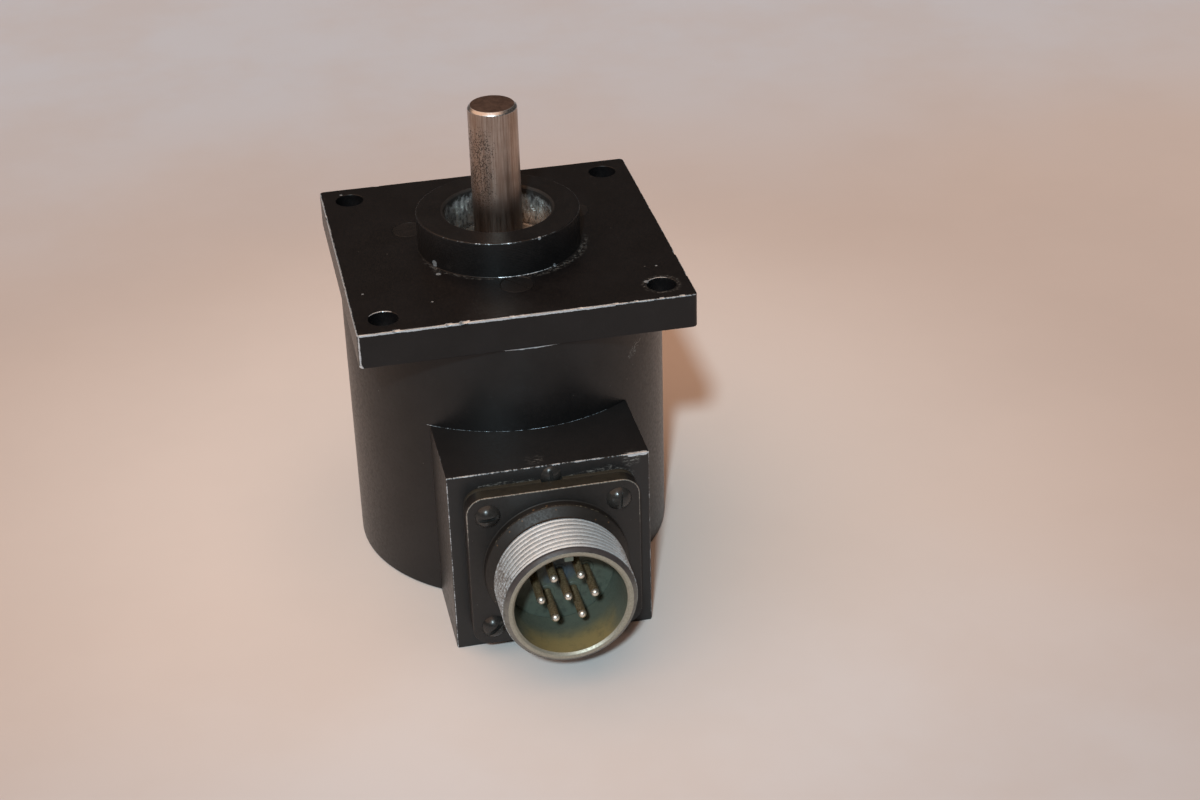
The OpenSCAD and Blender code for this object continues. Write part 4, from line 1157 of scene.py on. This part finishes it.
def thread_rings(b, n):
    """Helical thread as a height field on the barrel, fading out at both ends."""
    rings = []
    per_pitch = 12
    fade_in, fade_out, crest_wear = 0.4, 0.3, 0.08
    count = round((THREAD_END - THREAD_START) / THREAD_PITCH * per_pitch)
    for k in range(count + 1):
        h = THREAD_START + (THREAD_END - THREAD_START) * k / count
        ends = min((h - THREAD_START) / fade_in, (THREAD_END - h) / fade_out, 1.0)
        points = []
        for i in range(n):
            a = 2 * math.pi * i / n
            phase = (h / THREAD_PITCH - i / n) % 1.0
            crest = min(max((1 - abs(2 * phase - 1)) * 2.3 - 0.25, 0.0), 1.0)
            worn = crest_wear * (0.5 + 0.5 * wobble(4 * math.cos(a), 4 * math.sin(a) + h, 0.8))
            r = THREAD_R - worn - THREAD_DEPTH * (1 - crest * ends)
            points.append((r * math.cos(a), r * math.sin(a), h))
        rings.append(b.ring(points))
    return rings


def socket_ring(b, z, n, key):
    """Ring of the socket's wall. key is how far the key stands in from it, at the top."""
    half = math.asin(KEY_HALF / SOCKET_R)
    start = math.pi / 2 + half
    sweep = 2 * math.pi - 2 * half
    points = [(SOCKET_R * math.cos(start + sweep * i / n), SOCKET_R * math.sin(start + sweep * i / n), z)
              for i in range(n + 1)]
    side = SOCKET_R * math.cos(half)
    inner = side - key
    chamfer = 0.1 * min(key, 1)
    points += [(KEY_HALF, inner + chamfer, z), (KEY_HALF - 0.1, inner, z), (-KEY_HALF + 0.1, inner, z),
               (-KEY_HALF, inner + chamfer, z)]
    return b.ring(points)


def connector_shell():
    COLLAR, THREAD, LAND, BORE = range(1, 5)        # 0 is the plate
    b = Builder()
    front, back = plate_edges(b, PLATE_BACK, PLATE_FRONT, 0.30, 0.1)
    holes = [hole(b, CONN_HOLE_R, PLATE_FRONT, PLATE_BACK, 32, *place) for place in CONN_SCREW_PLACES]
    n = 192
    root = THREAD_R - THREAD_DEPTH
    collar = softened(((COLLAR_R + 0.25, PLATE_FRONT, 0), (COLLAR_R, PLATE_FRONT, 0.25),
                       (COLLAR_R, COLLAR_END, 0.25), (UNDERCUT_R, UNDERCUT_START, 0.2),
                       (UNDERCUT_R, THREAD_START - 0.05, 0),
                       (root, THREAD_START, 0)))
    foot, collar_end = b.lathe(collar, n, mat=COLLAR)
    b.fill(front, foot, *[h[0] for h in holes])
    thread = thread_rings(b, n)
    b.strips(collar_end, *thread, mat=THREAD)
    land = softened(((root, THREAD_END, 0), (LAND_R, THREAD_END + 0.05, 0), (LAND_R, RIM - RIM_CHAMFER, 0.12),
                     (RIM_FACE_R, RIM, 0.12), (SOCKET_R + MOUTH_CHAMFER, RIM, 0.12),
                     (SOCKET_R, RIM - MOUTH_CHAMFER, 0)))
    land_start, mouth = b.lathe(land, n, mat=LAND)
    b.strip(thread[-1], land_start, LAND)
    wall_n = n - 5             # the key and the wall's end add five points
    key_z = RIM - 0.8
    plain = [socket_ring(b, z, wall_n, 0.0) for z in (RIM - MOUTH_CHAMFER, key_z)]
    keyed = [socket_ring(b, z, wall_n, KEY_H) for z in (key_z, INSERT_FRONT)]
    rear = [socket_ring(b, z, wall_n, 0.0) for z in (INSERT_FRONT, SKIRT_BACK + 0.2)]
    b.bridge(mouth, plain[0], LAND)
    b.strips(*plain, *keyed, *rear, mat=BORE)
    skirt = softened(((SOCKET_R + 0.2, SKIRT_BACK, 0), (SKIRT_R, SKIRT_BACK, 0.2), (SKIRT_R, PLATE_BACK, 0)))
    skirt_start, skirt_end = b.lathe(skirt, n, mat=COLLAR)
    b.bridge(rear[-1], skirt_start, COLLAR)
    b.fill(back, skirt_end, *[h[1] for h in holes])
    names = ("plate", "collar", "thread", "land", "bore")
    return moved(b.piece("threaded_connector_shell", [MATERIALS[k] for k in names]), FACING_OUT)


def connector_insert():
    """Insulator disc with a slightly raised seat round each contact."""
    seat_r = 1.45
    b = Builder()
    r = SOCKET_R - 0.01
    face = INSERT_FRONT - 0.08
    wall = softened(((r - 0.25, face, 0), (r, face, 0.15), (r, INSERT_BACK, 0.2), (r - 0.25, INSERT_BACK, 0)))
    front, back = b.lathe(wall, 128)
    bore = softened(((seat_r + 0.1, face, 0), (seat_r, INSERT_FRONT, 0.08),
                     (PIN_R + 0.12, INSERT_FRONT, 0.05), (PIN_R + 0.01, INSERT_FRONT - 0.12, 0),
                     (PIN_R + 0.01, PIN_SHOULDER, 0),
                     (PIN_BODY_R + 0.01, PIN_SHOULDER, 0), (PIN_BODY_R + 0.01, INSERT_BACK, 0)))
    bores = [b.lathe(bore, 32, x, y) for x, y in PIN_PLACES]
    b.fill(front, *[start for start, _ in bores])
    b.fill(back, *[end for _, end in bores])
    return moved(b.piece("moulded_insulator", [MATERIALS["insert"]]), FACING_OUT)


def contact_pins():
    """Seven turned pins with rounded tips, each with a solder cup behind."""
    b = Builder()
    cup_r, cup_depth = 0.85, 4.0
    tip = [(PIN_R * math.sin(a), PIN_TIP - PIN_R + PIN_R * math.cos(a))
           for a in (math.pi / 2 * k / 8 for k in range(9))]
    body = softened(((PIN_R, PIN_SHOULDER, 0), (PIN_BODY_R, PIN_SHOULDER, 0.08), (PIN_BODY_R, PIN_BACK, 0.08),
                     (cup_r, PIN_BACK, 0.05), (cup_r, PIN_BACK + cup_depth, 0.1),
                     (0, PIN_BACK + cup_depth + 0.4, 0)))
    for x, y in PIN_PLACES:
        b.lathe(tip + body, 32, x, y)
    return moved(b.piece("turned_contact_pins", [MATERIALS["pins"]]), FACING_OUT)


# Slot directions of the connector screws, by side (left, right) and height (low, high).
SLOT_TURNS = {(-1, -1): 40, (-1, 1): 4, (1, -1): 15, (1, 1): 86}


def connector_screws():
    screws = []
    for (sx, sy), turn in SLOT_TURNS.items():
        screw = dome_head("screw", MATERIALS["screw_paint"], head_r=2.4, head_h=1.5, shank_r=1.38, length=9.5,
                          slot_w=0.75, slot_depth=0.8, turn=turn)
        place = Matrix.Translation((sx * CONN_SCREW_AT, sy * CONN_SCREW_AT, PLATE_FRONT))
        screws.append(moved(screw, FACING_OUT @ place))
    return joined("painted_connector_screws", screws)


# ---------------------------------------------------------------- shaft


def shaft():
    clip_r, clip_w = 4.45, 0.7             # clip grooves
    chamfer = 0.6
    path = [(0, SHAFT_TOP, 0), (SHAFT_R - chamfer, SHAFT_TOP, 0.10), (SHAFT_R, SHAFT_TOP - chamfer, 0.14)]
    for top in (NOSE_Z + clip_w, STUB_Z + 1.258):
        low = top - clip_w
        path += [(SHAFT_R, top, 0.03), (clip_r, top, 0.03), (clip_r, low, 0.03), (SHAFT_R, low, 0.03)]
    path += [(SHAFT_R, STUB_Z, 0.15), (STUB_R, STUB_Z, 0.1), (STUB_R, SHAFT_BOTTOM + 0.4, 0.1),
             (STUB_R - 0.4, SHAFT_BOTTOM, 0.1), (0, SHAFT_BOTTOM, 0)]
    b = Builder()
    b.rod(softened(path), 128)
    return b.piece("ground_shaft", [MATERIALS["shaft"]])


# ---------------------------------------------------------------- pieces on their bodies

finished(mounting_flange(), "root", "mounting_flange")
finished(flange_screws(), "root", "flange_screws")
finished(housing(), "root", "housing")
finished(block_screw(), "root", "block_screw", bevel=0.05)
finished(rear_cover(), "root", "rear_cover")
finished(rear_cover_screws(), "root", "rear_cover_screws")
finished(gasket(), "root", "connector_gasket")
finished(connector_shell(), "root", "connector_shell")
finished(connector_insert(), "root", "connector_insert")
finished(contact_pins(), "root", "contact_pins")
finished(connector_screws(), "root", "connector_screws", bevel=0.06)
finished(shaft(), "rotor", "shaft")

FINISH_OF_SLOT = {
    "rubber": "rubber", "bare_aluminium": "aluminium", "bearing_steel": "steel", "zinc_steel": "plated",
    "brass": "brass", "black_plastic": "plastic", "sensor_face": "sensor", "clear_glass": "glass",
    "etched_disc": "disc", "circuit_board": "board", "lead_insulation": "lead",
}


def dress_cad_nodes():
    """Gives the CAD solids that still show their finish, with fine rounded edges."""
    for node, obj in frame["nodes"].items():
        if obj.hide_render:
            continue
        for slot in obj.material_slots:
            slot.material = MATERIALS[FINISH_OF_SLOT[SLOT_OF[node]]]
        weld = obj.modifiers.new("weld", "WELD")
        weld.merge_threshold = 0.001 * MM
        evened(obj, bevel=0.05)


dress_cad_nodes()

# ---------------------------------------------------------------- floor, light and camera

FLOOR_R = 3000
CLOTH_FRONT = (0.79, 0.82, 0.87)
CLOTH_MIDDLE = (0.79, 0.715, 0.675)
CLOTH_BACK = (0.76, 0.84, 0.95)
# The cloth darkens away from the part: a painted falloff of light.
CLOTH_PAINTED_FALLOFF = (0.75, 0.71, 0.69)     # share of its colour left well away from the part


def floor():
    """Pale cloth, faintly woven and a little uneven, pinkish round the part and whiter in front of it,
    and darker away from it as a painted falloff of light.
    """
    m = Material("pale cloth", roughness=0.9)
    cloud = m.noise(0.006, 3, 0.6)
    fibre = m.noise(0.6, 4, 0.7)
    across = m.add(m.y, m.times(m.minus(cloud, 0.5), 120.0))
    near = m.mix(m.ramp(across, -120.0, -10.0), CLOTH_FRONT, CLOTH_MIDDLE)
    colour = m.mix(m.ramp(across, 90.0, 260.0), near, CLOTH_BACK)
    blotch = m.times(m.ramp(m.noise(0.02, 4, 0.6), 0.35, 0.7), 0.3)
    colour = m.mix(blotch, colour, shaded(CLOTH_MIDDLE, 0.92))
    # Painted falloff of light, darker away from the part.
    painted_falloff = m.mix(m.ramp(m.radius(), 50.0, 170.0), (1, 1, 1), CLOTH_PAINTED_FALLOFF)
    m.out("Base Color", m.vector("MULTIPLY", colour, painted_falloff))
    m.bump(m.add(m.times(fibre, 0.4), m.times(m.noise(0.03, 3, 0.5), 4.0)), 0.10, 0.4)
    b = Builder()
    b.bm.faces.new(b.ring(circle(FLOOR_R, FLOOR_Z - 0.02, 96)))
    plane = b.piece("floor", [m.data])
    moved(plane, TO_METRES)


def direction(azimuth, elevation):
    """Unit vector from the part, azimuth degrees to the right of the front and elevation above level."""
    around, up = math.radians(azimuth), math.radians(elevation)
    return Vector((math.sin(around) * math.cos(up), -math.cos(around) * math.cos(up), math.sin(up)))


def sun(name, colour, energy, angle, azimuth, elevation):
    data = bpy.data.lights.new(name, "SUN")
    data.color = colour
    data.energy = energy
    data.angle = math.radians(angle)
    obj = in_scene(name, data)
    obj.rotation_mode = "QUATERNION"
    obj.rotation_quaternion = direction(azimuth, elevation).to_track_quat("Z", "Y")


ROOM = (1.0, 0.92, 0.86, 1)
ROOM_STRENGTH = 0.05
BACKDROP = (0.60, 0.52, 0.49, 1)


def lights():
    """A cool flash beside the camera, a broad warm lamp high at the left, and a dim room.
    The camera alone sees a pale backdrop."""
    world = bpy.data.worlds.new("studio")
    world.use_nodes = True
    tree = world.node_tree
    room = tree.nodes["Background"]
    room.inputs["Color"].default_value = ROOM
    room.inputs["Strength"].default_value = ROOM_STRENGTH
    backdrop = tree.nodes.new("ShaderNodeBackground")
    backdrop.inputs["Color"].default_value = BACKDROP
    seen = tree.nodes.new("ShaderNodeLightPath")
    choose = tree.nodes.new("ShaderNodeMixShader")
    tree.links.new(seen.outputs["Is Camera Ray"], choose.inputs["Fac"])
    tree.links.new(room.outputs[0], choose.inputs[1])
    tree.links.new(backdrop.outputs[0], choose.inputs[2])
    tree.links.new(choose.outputs[0], tree.nodes["World Output"].inputs["Surface"])
    bpy.context.scene.world = world
    sun("flash", (0.72, 0.92, 1.0), energy=2.15, angle=4, azimuth=-17, elevation=40)
    sun("lamp", (1.0, 0.59, 0.38), energy=1.75, angle=95, azimuth=-90, elevation=70)


CAMERA_AT = (-59.18, -389.06, 192.75)
CAMERA_AZIMUTH = -11.368
CAMERA_ELEVATION = 30.265
CAMERA_ROLL = -1.741


def camera():
    """Stands at the left of the connector, looking down at the shaft."""
    back = direction(CAMERA_AZIMUTH, CAMERA_ELEVATION)
    azimuth, roll = math.radians(CAMERA_AZIMUTH), math.radians(CAMERA_ROLL)
    level = Vector((math.cos(azimuth), math.sin(azimuth), 0))
    upright = back.cross(level)
    across = math.cos(roll) * level + math.sin(roll) * upright
    up = -math.sin(roll) * level + math.cos(roll) * upright
    data = bpy.data.cameras.new("camera")
    data.lens = 67.24
    data.sensor_width = 36
    data.clip_start = 0.01
    data.clip_end = 20
    cam = in_scene("camera", data)
    facing = Matrix((across, up, back)).transposed().to_4x4()
    cam.matrix_world = Matrix.Translation(Vector(CAMERA_AT) * MM) @ facing
    bpy.context.scene.camera = cam


floor()
lights()
camera()
bpy.context.scene.view_settings.view_transform = "Standard"
